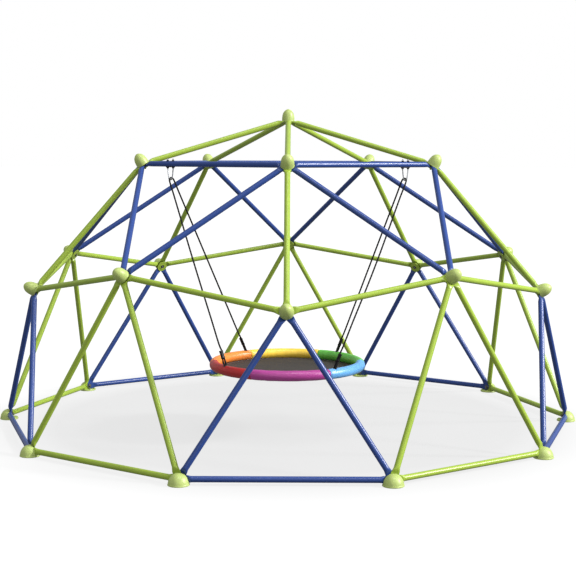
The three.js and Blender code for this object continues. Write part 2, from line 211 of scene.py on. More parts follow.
def spline(points, step):
    """A smooth line through the points, with points about step apart (centripetal Catmull-Rom)."""
    p = np.asarray(points, float)
    p = np.concatenate([[2 * p[0] - p[1]], p, [2 * p[-1] - p[-2]]])
    out = []
    for i in range(1, len(p) - 2):
        p0, p1, p2, p3 = p[i - 1 : i + 3]
        t0 = 0
        t1 = t0 + max(np.linalg.norm(p1 - p0), 1e-9) ** 0.5
        t2 = t1 + max(np.linalg.norm(p2 - p1), 1e-9) ** 0.5
        t3 = t2 + max(np.linalg.norm(p3 - p2), 1e-9) ** 0.5
        for t in np.linspace(t1, t2, max(2, int(np.linalg.norm(p2 - p1) / step) + 2))[:-1]:
            a1 = (t1 - t) / (t1 - t0) * p0 + (t - t0) / (t1 - t0) * p1
            a2 = (t2 - t) / (t2 - t1) * p1 + (t - t1) / (t2 - t1) * p2
            a3 = (t3 - t) / (t3 - t2) * p2 + (t - t2) / (t3 - t2) * p3
            b1 = (t2 - t) / (t2 - t0) * a1 + (t - t0) / (t2 - t0) * a2
            b2 = (t3 - t) / (t3 - t1) * a2 + (t - t1) / (t3 - t1) * a3
            out.append((t2 - t) / (t2 - t1) * b1 + (t - t1) / (t2 - t1) * b2)
    out.append(p[-2])
    return respace(np.array(out), step)


def respace(line, step):
    along = np.concatenate([[0], np.cumsum(np.linalg.norm(np.diff(line, axis=0), axis=1))])
    at = np.linspace(0, along[-1], max(2, int(round(along[-1] / step)) + 1))
    return np.stack([np.interp(at, along, line[:, k]) for k in range(3)], axis=1)


# ------------------------------------------------------------------ materials
def new_material(name):
    mat = bpy.data.materials.new(name)
    mat.use_nodes = True
    nt = mat.node_tree
    nt.nodes.clear()
    out = nt.nodes.new("ShaderNodeOutputMaterial")
    bsdf = nt.nodes.new("ShaderNodeBsdfPrincipled")
    nt.links.new(bsdf.outputs["BSDF"], out.inputs["Surface"])
    return mat, nt, bsdf


def noise(nt, vec, scale, detail=3, rough=0.55):
    n = nt.nodes.new("ShaderNodeTexNoise")
    n.inputs["Scale"].default_value = scale
    n.inputs["Detail"].default_value = detail
    n.inputs["Roughness"].default_value = rough
    nt.links.new(vec, n.inputs["Vector"])
    return n.outputs["Fac"]


def ramp(nt, fac, stops):
    r = nt.nodes.new("ShaderNodeValToRGB")
    el = r.color_ramp.elements
    while len(el) < len(stops):
        el.new(0.5)
    for e, (pos, col) in zip(el, stops):
        e.position = pos
        e.color = (*col, 1) if len(col) == 3 else col
    nt.links.new(fac, r.inputs["Fac"])
    return r.outputs["Color"]


def maprange(nt, fac, lo, hi, a=0.0, b=1.0):
    r = nt.nodes.new("ShaderNodeMapRange")
    for k, v in (("From Min", a), ("From Max", b), ("To Min", lo), ("To Max", hi)):
        r.inputs[k].default_value = v
    nt.links.new(fac, r.inputs["Value"])
    return r.outputs["Result"]


def math_node(nt, op, a, b=None):
    n = nt.nodes.new("ShaderNodeMath")
    n.operation = op
    for i, v in enumerate((a, b)):
        if v is None:
            continue
        if isinstance(v, (int, float)):
            n.inputs[i].default_value = v
        else:
            nt.links.new(v, n.inputs[i])
    return n.outputs[0]


def mix_color(nt, fac, a, b, mode="MIX"):
    n = nt.nodes.new("ShaderNodeMix")
    n.data_type = "RGBA"
    n.blend_type = mode
    for sock, v in ((n.inputs[0], fac), (n.inputs[6], a), (n.inputs[7], b)):
        if isinstance(v, (int, float)):
            sock.default_value = v
        elif isinstance(v, tuple):
            sock.default_value = (*v, 1)
        else:
            nt.links.new(v, sock)
    return n.outputs[2]


def bump(nt, bsdf, height, distance, strength=1.0, after=None):
    b = nt.nodes.new("ShaderNodeBump")
    b.inputs["Strength"].default_value = strength
    b.inputs["Distance"].default_value = distance
    nt.links.new(height, b.inputs["Height"])
    if after is not None:
        nt.links.new(after, b.inputs["Normal"])
    nt.links.new(b.outputs["Normal"], bsdf.inputs["Normal"])
    return b.outputs["Normal"]


def object_coords(nt):
    return nt.nodes.new("ShaderNodeTexCoord").outputs["Object"]


def uv_coords(nt):
    return nt.nodes.new("ShaderNodeTexCoord").outputs["UV"]


def srgb(r, g, b):
    f = lambda c: c / 255 / 12.92 if c / 255 <= 0.04045 else ((c / 255 + 0.055) / 1.055) ** 2.4
    return f(r), f(g), f(b)


def scaled(c, k):
    return tuple(min(1.0, x * k) for x in c)


def powder_coat(name, color, dark):
    mat, nt, bsdf = new_material(name)
    co = object_coords(nt)
    broad = noise(nt, co, 5.0, 4, 0.6)
    col = ramp(nt, broad, [(0.32, scaled(color, 0.93)), (0.68, scaled(color, 1.05))])
    # pinhead texture of the baked powder
    fine = noise(nt, co, 620.0, 2, 0.5)
    col = mix_color(nt, maprange(nt, fine, 0.0, 0.16, 0.62, 0.8), col, dark)
    # thin scuffs where hands and shoes rub
    scuff = noise(nt, co, 38.0, 6, 0.75)
    col = mix_color(nt, maprange(nt, scuff, 0.0, 0.22, 0.66, 0.80), col, scaled(color, 1.35))
    nt.links.new(col, bsdf.inputs["Base Color"])
    nt.links.new(maprange(nt, noise(nt, co, 90.0, 4, 0.6), 0.29, 0.36, 0.3, 0.7), bsdf.inputs["Roughness"])
    bsdf.inputs["Specular IOR Level"].default_value = 0.42
    peel = noise(nt, co, 240.0, 2, 0.45)
    first = bump(nt, bsdf, peel, 0.00004, 0.22)
    bump(nt, bsdf, fine, 0.000012, 0.3, after=first)
    return mat


def moulded_plastic(name, color):
    mat, nt, bsdf = new_material(name)
    co = object_coords(nt)
    cloud = noise(nt, co, 22.0, 4, 0.6)
    col = ramp(nt, cloud, [(0.3, scaled(color, 0.93)), (0.7, scaled(color, 1.06))])
    grain = noise(nt, co, 1500.0, 2, 0.5)
    col = mix_color(nt, maprange(nt, grain, 0.0, 0.10, 0.55, 0.75), col, scaled(color, 0.72))
    nt.links.new(col, bsdf.inputs["Base Color"])
    nt.links.new(maprange(nt, cloud, 0.38, 0.50, 0.3, 0.7), bsdf.inputs["Roughness"])
    bsdf.inputs["Subsurface Weight"].default_value = 0.06
    bsdf.inputs["Subsurface Radius"].default_value = (0.01, 0.01, 0.004)
    first = bump(nt, bsdf, noise(nt, co, 60.0, 2, 0.4), 0.0003, 0.3)
    bump(nt, bsdf, grain, 0.00002, 0.4, after=first)
    return mat


def metal(name, color, rough, dark_spots=0.25, metallic=1.0):
    mat, nt, bsdf = new_material(name)
    co = object_coords(nt)
    spangle = noise(nt, co, 160.0, 5, 0.7)
    col = ramp(nt, spangle, [(0.3, scaled(color, 0.78)), (0.62, color)])
    spots = noise(nt, co, 45.0, 5, 0.7)
    col = mix_color(nt, maprange(nt, spots, 0.0, dark_spots, 0.58, 0.75), col, scaled(color, 0.45))
    nt.links.new(col, bsdf.inputs["Base Color"])
    bsdf.inputs["Metallic"].default_value = metallic
    nt.links.new(maprange(nt, spangle, rough - 0.06, rough + 0.12, 0.3, 0.7), bsdf.inputs["Roughness"])
    bump(nt, bsdf, noise(nt, co, 900.0, 3, 0.6), 0.00005, 0.4)
    return mat


def weave_height(nt, vec, pitch_u, pitch_v):
    """Height of a plain weave: threads over and under, from two crossed waves."""
    sep = nt.nodes.new("ShaderNodeSeparateXYZ")
    nt.links.new(vec, sep.inputs[0])
    u = math_node(nt, "MULTIPLY", sep.outputs[0], math.pi / pitch_u)
    v = math_node(nt, "MULTIPLY", sep.outputs[1], math.pi / pitch_v)
    su, sv = math_node(nt, "SINE", u), math_node(nt, "SINE", v)
    warp = math_node(nt, "ABSOLUTE", su)
    weft = math_node(nt, "ABSOLUTE", sv)
    over = math_node(nt, "MULTIPLY", su, sv)
    over = maprange(nt, over, 0.0, 1.0, -0.25, 0.25)
    a = math_node(nt, "MULTIPLY", warp, over)
    inv = math_node(nt, "SUBTRACT", 1.0, over)
    b = math_node(nt, "MULTIPLY", weft, inv)
    return math_node(nt, "ADD", a, b)


def coated_cloth(name, color, light):
    mat, nt, bsdf = new_material(name)
    uv, co = uv_coords(nt), object_coords(nt)
    weave = weave_height(nt, uv, 0.0011, 0.0011)
    soft = noise(nt, co, 14.0, 5, 0.6)
    col = ramp(nt, soft, [(0.3, scaled(color, 0.90)), (0.7, scaled(color, 1.06))])
    # painted shade: darker where the weave is low, between the threads
    col = mix_color(nt, maprange(nt, weave, 0.16, 0.0, 0.15, 0.95), col, scaled(color, 0.62))
    # painted sheen: scattered noise patches take the lighter colour given as light, standing in for highlights on the
    # coated cloth
    painted_sheen_spots = noise(nt, co, 55.0, 6, 0.7)
    col = mix_color(nt, maprange(nt, painted_sheen_spots, 0.0, 0.20, 0.60, 0.80), col, light)
    nt.links.new(col, bsdf.inputs["Base Color"])
    nt.links.new(maprange(nt, soft, 0.34, 0.44, 0.3, 0.7), bsdf.inputs["Roughness"])
    bsdf.inputs["Specular IOR Level"].default_value = 0.75
    first = bump(nt, bsdf, noise(nt, co, 70.0, 4, 0.6), 0.0010, 0.30)
    bump(nt, bsdf, weave, 0.00012, 0.5, after=first)
    return mat


def mat_cloth(name, color):
    mat, nt, bsdf = new_material(name)
    uv, co = uv_coords(nt), object_coords(nt)
    weave = weave_height(nt, uv, 0.0021, 0.0021)
    soft = noise(nt, co, 9.0, 5, 0.6)
    col = ramp(nt, soft, [(0.3, scaled(color, 0.85)), (0.7, scaled(color, 1.12))])
    # painted shade: darker where the weave is low, between the threads
    col = mix_color(nt, maprange(nt, weave, 0.55, 0.0, 0.1, 0.9), col, scaled(color, 0.35))
    speck = noise(nt, co, 900.0, 2, 0.5)
    col = mix_color(nt, maprange(nt, speck, 0.0, 0.35, 0.58, 0.75), col, scaled(color, 1.9))
    nt.links.new(col, bsdf.inputs["Base Color"])
    nt.links.new(maprange(nt, soft, 0.66, 0.82, 0.3, 0.7), bsdf.inputs["Roughness"])
    bsdf.inputs["Specular IOR Level"].default_value = 0.25
    bsdf.inputs["Sheen Weight"].default_value = 0.04
    bsdf.inputs["Sheen Roughness"].default_value = 0.5
    first = bump(nt, bsdf, soft, 0.004, 0.25)
    bump(nt, bsdf, weave, 0.00030, 0.6, after=first)
    return mat


def rope_material(name, color):
    mat, nt, bsdf = new_material(name)
    co = object_coords(nt)
    fibre = noise(nt, co, 1400.0, 3, 0.6)
    tone = noise(nt, co, 60.0, 3, 0.6)
    col = ramp(nt, tone, [(0.3, scaled(color, 0.7)), (0.7, scaled(color, 1.5))])
    col = mix_color(nt, maprange(nt, fibre, 0.0, 0.4, 0.52, 0.78), col, scaled(color, 2.4))
    nt.links.new(col, bsdf.inputs["Base Color"])
    nt.links.new(maprange(nt, fibre, 0.6, 0.9, 0.3, 0.7), bsdf.inputs["Roughness"])
    bsdf.inputs["Specular IOR Level"].default_value = 0.25
    bump(nt, bsdf, fibre, 0.00012, 0.6)
    return mat


M = {
    "green": powder_coat("green_powder_coat", srgb(148, 172, 60), srgb(108, 130, 36)),
    "blue": powder_coat("blue_powder_coat", srgb(40, 66, 130), srgb(22, 36, 84)),
    "cap": moulded_plastic("lime_plastic", srgb(170, 186, 106)),
    "zinc": metal("zinc_plate", (0.66, 0.67, 0.69), 0.30),
    "bolt": metal("bolt_steel", (0.20, 0.20, 0.21), 0.38),
    "black": metal("black_steel", (0.030, 0.030, 0.033), 0.45, 0.15, 0.6),
    "rope": rope_material("black_rope", (0.005, 0.005, 0.005)),
    "adjuster": moulded_plastic("black_plastic", (0.006, 0.006, 0.0065)),
    "mat": mat_cloth("seat_cloth", srgb(50, 45, 41)),
    # the second colour of each coated cloth is its painted sheen colour
    "hem": coated_cloth("hem_tape", srgb(40, 38, 38), srgb(70, 67, 65)),
    "thread": rope_material("sewing_thread", (0.22, 0.21, 0.20)),
    "magenta": coated_cloth("sleeve_magenta", srgb(176, 58, 144), srgb(205, 100, 178)),
    "sky": coated_cloth("sleeve_sky_blue", srgb(104, 172, 230), srgb(145, 200, 240)),
    "leaf": coated_cloth("sleeve_green", srgb(98, 190, 68), srgb(135, 210, 108)),
    "yellow": coated_cloth("sleeve_yellow", srgb(246, 206, 66), srgb(250, 224, 125)),
    "orange": coated_cloth("sleeve_orange", srgb(246, 138, 54), srgb(250, 172, 100)),
    "red": coated_cloth("sleeve_red", srgb(178, 8, 13), srgb(198, 34, 38)),
}

for key in ("adjuster",):
    shader = next(n for n in M[key].node_tree.nodes if n.type == "BSDF_PRINCIPLED")
    shader.inputs["Specular IOR Level"].default_value = 0.18
    shader.inputs["Subsurface Weight"].default_value = 0.0

# ------------------------------------------------------------------ hubs and their planes
hubs = {}


def add_hub(name, rz, azimuth, kind):
    r, z = rz
    a = azimuth * D
    hubs[name] = {"name": name, "kind": kind, "at": np.array([r * RING_R * math.cos(a), r * RING_R * math.sin(a), AXIS_Z + z * RING_R]), "ends": []}


def sector(k):
    return -90 + 72 * (k % 5)


add_hub("top", TOP, 0, "top")
for k in range(5):
    add_hub(f"r{k}", CROWN, sector(k), "crown")
    add_hub(f"i{k}", WAIST_LOW, sector(k), "waist_low")
    add_hub(f"m{k}", WAIST_HIGH, sector(k) + 36, "waist_high")
    add_hub(f"R{k}", BASE, sector(k) + 18, "foot")
    add_hub(f"L{k}", BASE, sector(k) - 18, "foot")

tubes = []  # piece name, colour, hub names, CAD node
for k in range(5):
    n, q = (k + 1) % 5, k + 1
    rib, crown, waist = f"green_rib_{q}", f"blue_crown_truss_{q}", f"green_waist_truss_{q}"
    bleg, gleg = f"blue_leg_frame_{q}", f"green_leg_frame_{q}"
    tubes += [
        (f"top_tube_{q}", "green", "top", f"r{k}", rib),
        (f"rib_tube_{q}", "green", f"r{k}", f"i{k}", rib),
        (f"crown_bar_{q}", "blue", f"r{k}", f"r{n}", crown),
        (f"crown_brace_{q}a", "blue", f"r{k}", f"m{k}", crown),
        (f"crown_brace_{q}b", "blue", f"r{n}", f"m{k}", crown),
        (f"waist_bar_{q}a", "green", f"i{k}", f"m{k}", waist),
        (f"waist_bar_{q}b", "green", f"m{k}", f"i{n}", waist),
        (f"blue_leg_{q}a", "blue", f"i{k}", f"L{k}", bleg),
        (f"blue_leg_{q}b", "blue", f"i{k}", f"R{k}", bleg),
        (f"blue_base_bar_{q}", "blue", f"L{k}", f"R{k}", bleg),
        (f"green_leg_{q}a", "green", f"m{k}", f"R{k}", gleg),
        (f"green_leg_{q}b", "green", f"m{k}", f"L{n}", gleg),
        (f"green_base_bar_{q}", "green", f"R{k}", f"L{n}", gleg),
    ]
for i, (_, _, a, b, _) in enumerate(tubes):
    hubs[a]["ends"].append({"tube": i, "to": b})
    hubs[b]["ends"].append({"tube": i, "to": a})
for h in hubs.values():
    dirs = [unit(hubs[e["to"]]["at"] - h["at"]) for e in h["ends"]]
    if h["kind"] == "foot":
        h["n"] = unit([h["at"][0], h["at"][1], 0])
    elif h["kind"] == "top":
        h["n"] = UP.copy()
    else:
        mean = sum(dirs) / len(dirs)
        nn = unit(-mean)
        for _ in range(400):
            g = sum((d - mean) * np.dot(d - mean, nn) for d in dirs)
            nn = unit(nn - 0.4 * g)
        h["n"] = nn
    h["x"] = np.array([1.0, 0, 0]) if h["kind"] == "top" else unit(np.cross(UP, h["n"]))
    h["y"] = np.cross(h["n"], h["x"])
    h["drop"] = TAB_BEND * float(np.mean([-np.dot(d, h["n"]) / math.sqrt(1 - np.dot(d, h["n"]) ** 2) for d in dirs]))
    h["p"] = h["at"] - h["n"] * h["drop"]
    # flat ends lie on each other round the bolt; the blue ones go to the inside
    for e, d in zip(h["ends"], dirs):
        e["turn"] = math.atan2(np.dot(d, h["y"]), np.dot(d, h["x"]))
    order = sorted(h["ends"], key=lambda e: (tubes[e["tube"]][1] == "blue", e["turn"]))
    for j, e in enumerate(order):
        e["level"] = (len(order) - 1) / 2 - j

TAB_T, TAB_STEP = 1.18 * MM, 2.42 * MM
TAB_W = {"green": 22.6 * MM, "blue": 20.8 * MM}
FLAT_END, ROUND_AT, TUBE_R = 34 * MM, 68 * MM, 16.4 * MM
SIDES = 32


def smoothstep(x):
    x = np.clip(x, 0, 1)
    return x * x * (3 - 2 * x)


def tube_mesh(name_a, name_b, half_w):
    """One tube: round along its length, crushed flat, widened and bent at both ends, with rounded tips."""
    A, B = hubs[name_a], hubs[name_b]
    u = unit(B["at"] - A["at"])
    long = np.linalg.norm(B["at"] - A["at"])
    stations = []  # centre, s axis, normal-ish axis, half width, half thickness, squareness
    rho = [-15.6, -15.0, -13.6, -11.4, -8.4, -4.5, 0.5, 7, 15, 24, 32, 37, 41, 45, 49, 53, 57, 61, 65, 69, 73, 77, 81, 85, 89, 94]
    for h, other, sign in ((A, B, 1), (B, A, -1)):
        e = next(x for x in h["ends"] if x["to"] == other["name"])
        out = unit(other["at"] - h["at"])
        flat = unit(out - h["n"] * np.dot(out, h["n"]))
        slope = np.dot(out, h["n"]) / math.sqrt(1 - np.dot(out, h["n"]) ** 2)
        s_axis = unit(np.cross(u, h["n"]))
        level = e["level"] * TAB_STEP
        pts = []
        for r in rho:
            r = r * MM
            f = float(smoothstep((r - FLAT_END) / (ROUND_AT - FLAT_END)))
            hz = (1 - f) * level + f * (h["drop"] + r * slope)
            c = h["p"] + flat * r + h["n"] * hz
            if r < 8 * MM:
                w = half_w * math.sqrt(max(1e-4, 1 - ((r - 8 * MM) / (24 * MM)) ** 2))
            else:
                w = half_w
            # the width comes down to the round later than the thickness grows
            w = w * (1 - smoothstep((r - FLAT_END) / (ROUND_AT - FLAT_END)) ** 0.9) + TUBE_R * smoothstep((r - FLAT_END) / (ROUND_AT - FLAT_END)) ** 0.9
            g = float(smoothstep((r - FLAT_END + 2 * MM) / (ROUND_AT - FLAT_END)))
            t = TAB_T * (1 - g) + TUBE_R * g
            p = 7.0 * (1 - g) ** 1.5 + 2.0 * (1 - (1 - g) ** 1.5)
            pts.append([c, s_axis, w, t, p])
        c = np.array([x[0] for x in pts])
        tan = np.gradient(c, axis=0)
        tan = tan / np.linalg.norm(tan, axis=1)[:, None] * sign
        st = []
        for (c0, s0, w, t, p), tn in zip(pts, tan):
            s1 = unit(s0 - tn * np.dot(s0, tn))
            st.append((c0, s1, np.cross(s1, tn), w, t, p))
        stations.append(st)
    a, b = stations[0], stations[1][::-1]
    # the sections turn evenly from one end's plane to the other's along the round part
    s_a, s_b = a[-1][1], b[0][1]
    twist = math.atan2(np.dot(np.cross(s_a, s_b), u), np.dot(s_a, s_b))
    full = list(a)
    for f in (0.125, 0.25, 0.375, 0.5, 0.625, 0.75, 0.875):
        c = a[-1][0] * (1 - f) + b[0][0] * f
        ang = twist * f
        s = unit(s_a * math.cos(ang) + np.cross(u, s_a) * math.sin(ang))
        full.append((c, s, np.cross(s, u), TUBE_R, TUBE_R, 2.0))
    full += b
    ph = np.linspace(0, 2 * math.pi, SIDES, endpoint=False) + math.pi / SIDES
    rings = []
    for c, s, n, w, t, p in full:
        cx, sx = np.cos(ph), np.sin(ph)
        x = w * np.sign(cx) * np.abs(cx) ** (2 / p)
        y = t * np.sign(sx) * np.abs(sx) ** (2 / p)
        rings.append(c + np.outer(x, s) + np.outer(y, n))
    return loft(rings)


for name, colour, a, b, node in tubes:
    v, f = tube_mesh(a, b, TAB_W[colour])
    o = mesh_object(name, v, f, M[colour], sharp=50)
    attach(o, "root")
    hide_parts(node)


# ------------------------------------------------------------------ hub caps, inner discs and bolts
def hex_nut(radius, height, chamfer=0.0011, bore=0.0):
    """Hexagonal nut or bolt head with chamfered corners, as stacked rings: (ring, height)."""
    corner = [i * math.pi / 3 for i in range(6)]
    ring = []
    flat = radius * math.cos(math.pi / 6)
    ang = np.linspace(0, 2 * math.pi, 48, endpoint=False)
    hexr = flat / np.cos((ang + math.pi / 6) % (math.pi / 3) - math.pi / 6)
    low = np.minimum(hexr, flat + 0.15 * (radius - flat))
    mid = np.minimum(hexr, flat + 0.62 * (radius - flat))
    rows = [(low * 0.985, 0.0), (mid, chamfer * 0.45), (hexr, chamfer), (hexr, height - chamfer), (mid, height - chamfer * 0.45), (low * 0.985, height)]
    return ang, rows


def put_rings(ang, rows, axis, at, x_hint=None, turn=0.0):
    x, y, z = axes_for(axis, x_hint)
    rings = [np.asarray(at) + z * hgt + np.outer(r * np.cos(ang + turn), x) + np.outer(r * np.sin(ang + turn), y) for r, hgt in rows]
    return loft(rings)


def nut_at(axis, at, radius, height, turn=0.0):
    ang, rows = hex_nut(radius, height)
    return put_rings(ang, rows, axis, at, turn=turn)


def threaded(axis, at, radius, length, pitch=0.00125, tip=0.0008):
    rows, n = [(radius * 0.86, 0.0)], max(2, int(length / pitch))
    for i in range(n):
        rows += [(radius * 0.90, i * pitch + 0.15 * pitch), (radius, i * pitch + 0.5 * pitch), (radius * 0.90, i * pitch + 0.85 * pitch)]
    rows += [(radius * 0.84, n * pitch), (radius * 0.55, n * pitch + tip), (0.0, n * pitch + tip)]
    rows = [(0.0, 0.0)] + rows
    return lathe(rows, 20, axis, at)


CAP_PTS = [(39.2, 0.0), (40.0, 1.0), (40.0, 3.4), (39.1, 4.8), (38.9, 12), (38.4, 22), (37.3, 32), (35.4, 42), (32.2, 51.5), (27.6, 60), (21.4, 67.5), (13.6, 73.4), (6.2, 76.8), (0, 78)]
for h in hubs.values():
    if h["kind"] == "foot":
        continue
    stack = len(h["ends"]) * TAB_STEP / 2
    base = stack + 0.35 * MM
    top_gap = 82.9 * MM - base
    k = top_gap / (78.0 * MM)
    prof = [(0, base + 1.2 * MM), (36.0 * MM, base + 1.2 * MM), (36.4 * MM, base)] + [(r * MM, base + z * k * MM) for r, z in CAP_PTS[:4]]
    body = smooth_profile([(r, z) for r, z in CAP_PTS[3:]], 2)
    prof += [(r * MM, base + z * k * MM) for r, z in body[1:]]
    prof[-1] = (0, prof[-1][1])
    node = {"top": "hub_top"}.get(h["name"]) or {"r": "hub_crown_", "i": "hub_waist_low_", "m": "hub_waist_high_"}[h["name"][0]] + str(int(h["name"][1:]) + 1)
    v, f = lathe(prof, 56, h["n"], h["p"])
    cap = mesh_object(node + "_cap", v, f, M["cap"], sharp=40)
    # inner disc: a shallow dish with a rim and a counterbore for the bolt head
    b0 = -stack - 0.35 * MM
    disc = [(0, b0), (36.8, b0), (37.6, b0 - 0.0006), (38.0, b0 - 0.0018), (37.6, b0 - 0.0044), (36.4, b0 - 0.0056), (33.8, b0 - 0.0060), (32.4, b0 - 0.0054),
            (24.0, b0 - 0.0062), (16.5, b0 - 0.0078), (14.6, b0 - 0.0080), (13.6, b0 - 0.0072), (13.2, b0 - 0.0046), (0, b0 - 0.0046)]
    disc = [(r * MM, z) for r, z in disc]
    v, f = lathe(disc, 56, h["n"], h["p"])
    dsk = mesh_object(node + "_inner_disc", v, f, M["green"], sharp=40)
    seat = h["p"] + h["n"] * (b0 - 0.0046)
    washer = lathe([(0, -0.0001), (10.6 * MM, -0.0001), (11.0 * MM, -0.0005), (11.0 * MM, -0.0013), (10.5 * MM, -0.0017), (0, -0.0017)], 40, h["n"], seat)
    head = nut_at(-h["n"], seat - h["n"] * 0.0017, 7.4 * MM, 5.2 * MM, turn=rng.uniform(0, 1))
    end = threaded(-h["n"], seat - h["n"] * 0.0060, 3.9 * MM, 4.6 * MM)
    v, f = merge([washer, head, end])
    blt = mesh_object(node + "_bolt", v, f, M["bolt"], sharp=30)
    for o, slot in ((cap, "lime_plastic"), (dsk, "green_powder_coat"), (blt, "zinc_steel")):
        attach(o, "root")
        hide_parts(node)

# ------------------------------------------------------------------ feet
FOOT_R, FOOT_H = 57.5 * MM, 64 * MM
DOME = [(55.6, 0.0), (57.5, 1.4), (57.5, 6.2), (56.2, 8.0), (55.4, 12), (53.6, 21), (50.2, 31), (45.0, 41), (37.6, 50), (28.0, 57.4), (16.0, 62.2), (0, 64)]


def cleaned(obj):
    bm = bmesh.new()
    bm.from_mesh(obj.data)
    bmesh.ops.remove_doubles(bm, verts=bm.verts, dist=0.00002)
    bmesh.ops.dissolve_degenerate(bm, edges=bm.edges, dist=0.00002)
    bmesh.ops.recalc_face_normals(bm, faces=bm.faces)
    bm.to_mesh(obj.data)
    bm.free()


def boolean(obj, other, op):
    mod = obj.modifiers.new("b", "BOOLEAN")
    mod.operation, mod.object, mod.solver = op, other, "EXACT"
    dg = bpy.context.evaluated_depsgraph_get()
    me = bpy.data.meshes.new_from_object(obj.evaluated_get(dg))
    obj.modifiers.clear()
    old, obj.data = obj.data, me
    bpy.data.meshes.remove(old)
    bpy.data.objects.remove(other)
    cleaned(obj)


def box_mesh(lo, hi):
    (x0, y0, z0), (x1, y1, z1) = lo, hi
    v = [(x, y, z) for x in (x0, x1) for y in (y0, y1) for z in (z0, z1)]
    f = [(0, 1, 3, 2), (4, 6, 7, 5), (0, 4, 5, 1), (2, 3, 7, 6), (0, 2, 6, 4), (1, 5, 7, 3)]
    return np.array(v), f


# made once with +X outwards and its middle under the hub, then copied round
foot_drop = hubs["R0"]["drop"]
body = smooth_profile(DOME[4:], 2)
prof = [(0, 0)] + [(r * MM, z * MM) for r, z in DOME[:5]] + [(r * MM, z * MM) for r, z in body[1:]]
prof[-1] = (0, prof[-1][1])
v, f = lathe(prof, 72)
foot0 = mesh_object("foot_form", v, f, M["cap"])
stack = 4 * TAB_STEP / 2
v, f = box_mesh((-0.2, -0.2, 10 * MM), (-foot_drop + stack + 0.4 * MM, 0.2, 0.2))
boolean(foot0, mesh_object("cut", v, f, M["cap"]), "DIFFERENCE")
# two low ribs on the tread plate behind the tabs
for side in (-1, 1):
    v, f = box_mesh((-46 * MM, side * 22 * MM - 2 * MM, 6 * MM), (-foot_drop - stack - 10 * MM, side * 22 * MM + 2 * MM, 15 * MM))
    boolean(foot0, mesh_object("rib", v, f, M["cap"]), "UNION")
# hollow round the underside's middle, so that it stands on a rim
v, f = lathe([(0, -0.01), (40 * MM, -0.01), (40 * MM, 1.6 * MM), (38.5 * MM, 2.2 * MM), (0, 2.2 * MM)], 48)
boolean(foot0, mesh_object("hollow", v, f, M["cap"]), "DIFFERENCE")
bev = foot0.modifiers.new("edge", "BEVEL")
bev.width, bev.segments, bev.limit_method, bev.angle_limit = 1.1 * MM, 3, "ANGLE", 50 * D
dg = bpy.context.evaluated_depsgraph_get()
foot_mesh = bpy.data.meshes.new_from_object(foot0.evaluated_get(dg))
bpy.data.objects.remove(foot0)
foot_mesh.polygons.foreach_set("use_smooth", np.ones(len(foot_mesh.polygons), bool))
foot_mesh.set_sharp_from_angle(angle=42 * D)
for k in range(5):
    for name, number in ((f"L{k}", 2 * k + 1), (f"R{k}", 2 * k + 2)):
        h = hubs[name]
        me = foot_mesh.copy()
        a = math.atan2(h["n"][1], h["n"][0])
        me.transform(Matrix.Translation((h["at"][0], h["at"][1], 0)) @ Matrix.Rotation(a, 4, "Z"))
        o = link(bpy.data.objects.new(f"foot_{number}_shell", me))
        back = h["p"] - h["n"] * (stack + 0.3 * MM)
        washer = lathe([(0, 0), (15.4 * MM, 0), (16 * MM, -0.5 * MM), (16 * MM, -1.7 * MM), (15.4 * MM, -2.2 * MM), (0, -2.2 * MM)], 40, h["n"], back)
        head = nut_at(-h["n"], back - h["n"] * 2.2 * MM, 8 * MM, 6.5 * MM, turn=rng.uniform(0, 1))
        end = threaded(-h["n"], back - h["n"] * 7.5 * MM, 4.4 * MM, 7 * MM)
        v, f = merge([washer, head, end])
        blt = mesh_object(f"foot_{number}_bolt", v, f, M["bolt"], sharp=30)
        for x, slot in ((o, "lime_plastic"), (blt, "zinc_steel")):
            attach(x, "root")
            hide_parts(f"foot_{number}")
bpy.data.meshes.remove(foot_mesh)


# ------------------------------------------------------------------ swing hangers
def hang_point(side):
    a, b = hubs["r4" if side == "left" else "r1"]["at"], hubs["r0"]["at"]
    at = a + (b - a) * HANG_T
    along = unit(b - a)
    return at, along if along[0] > 0 else -along


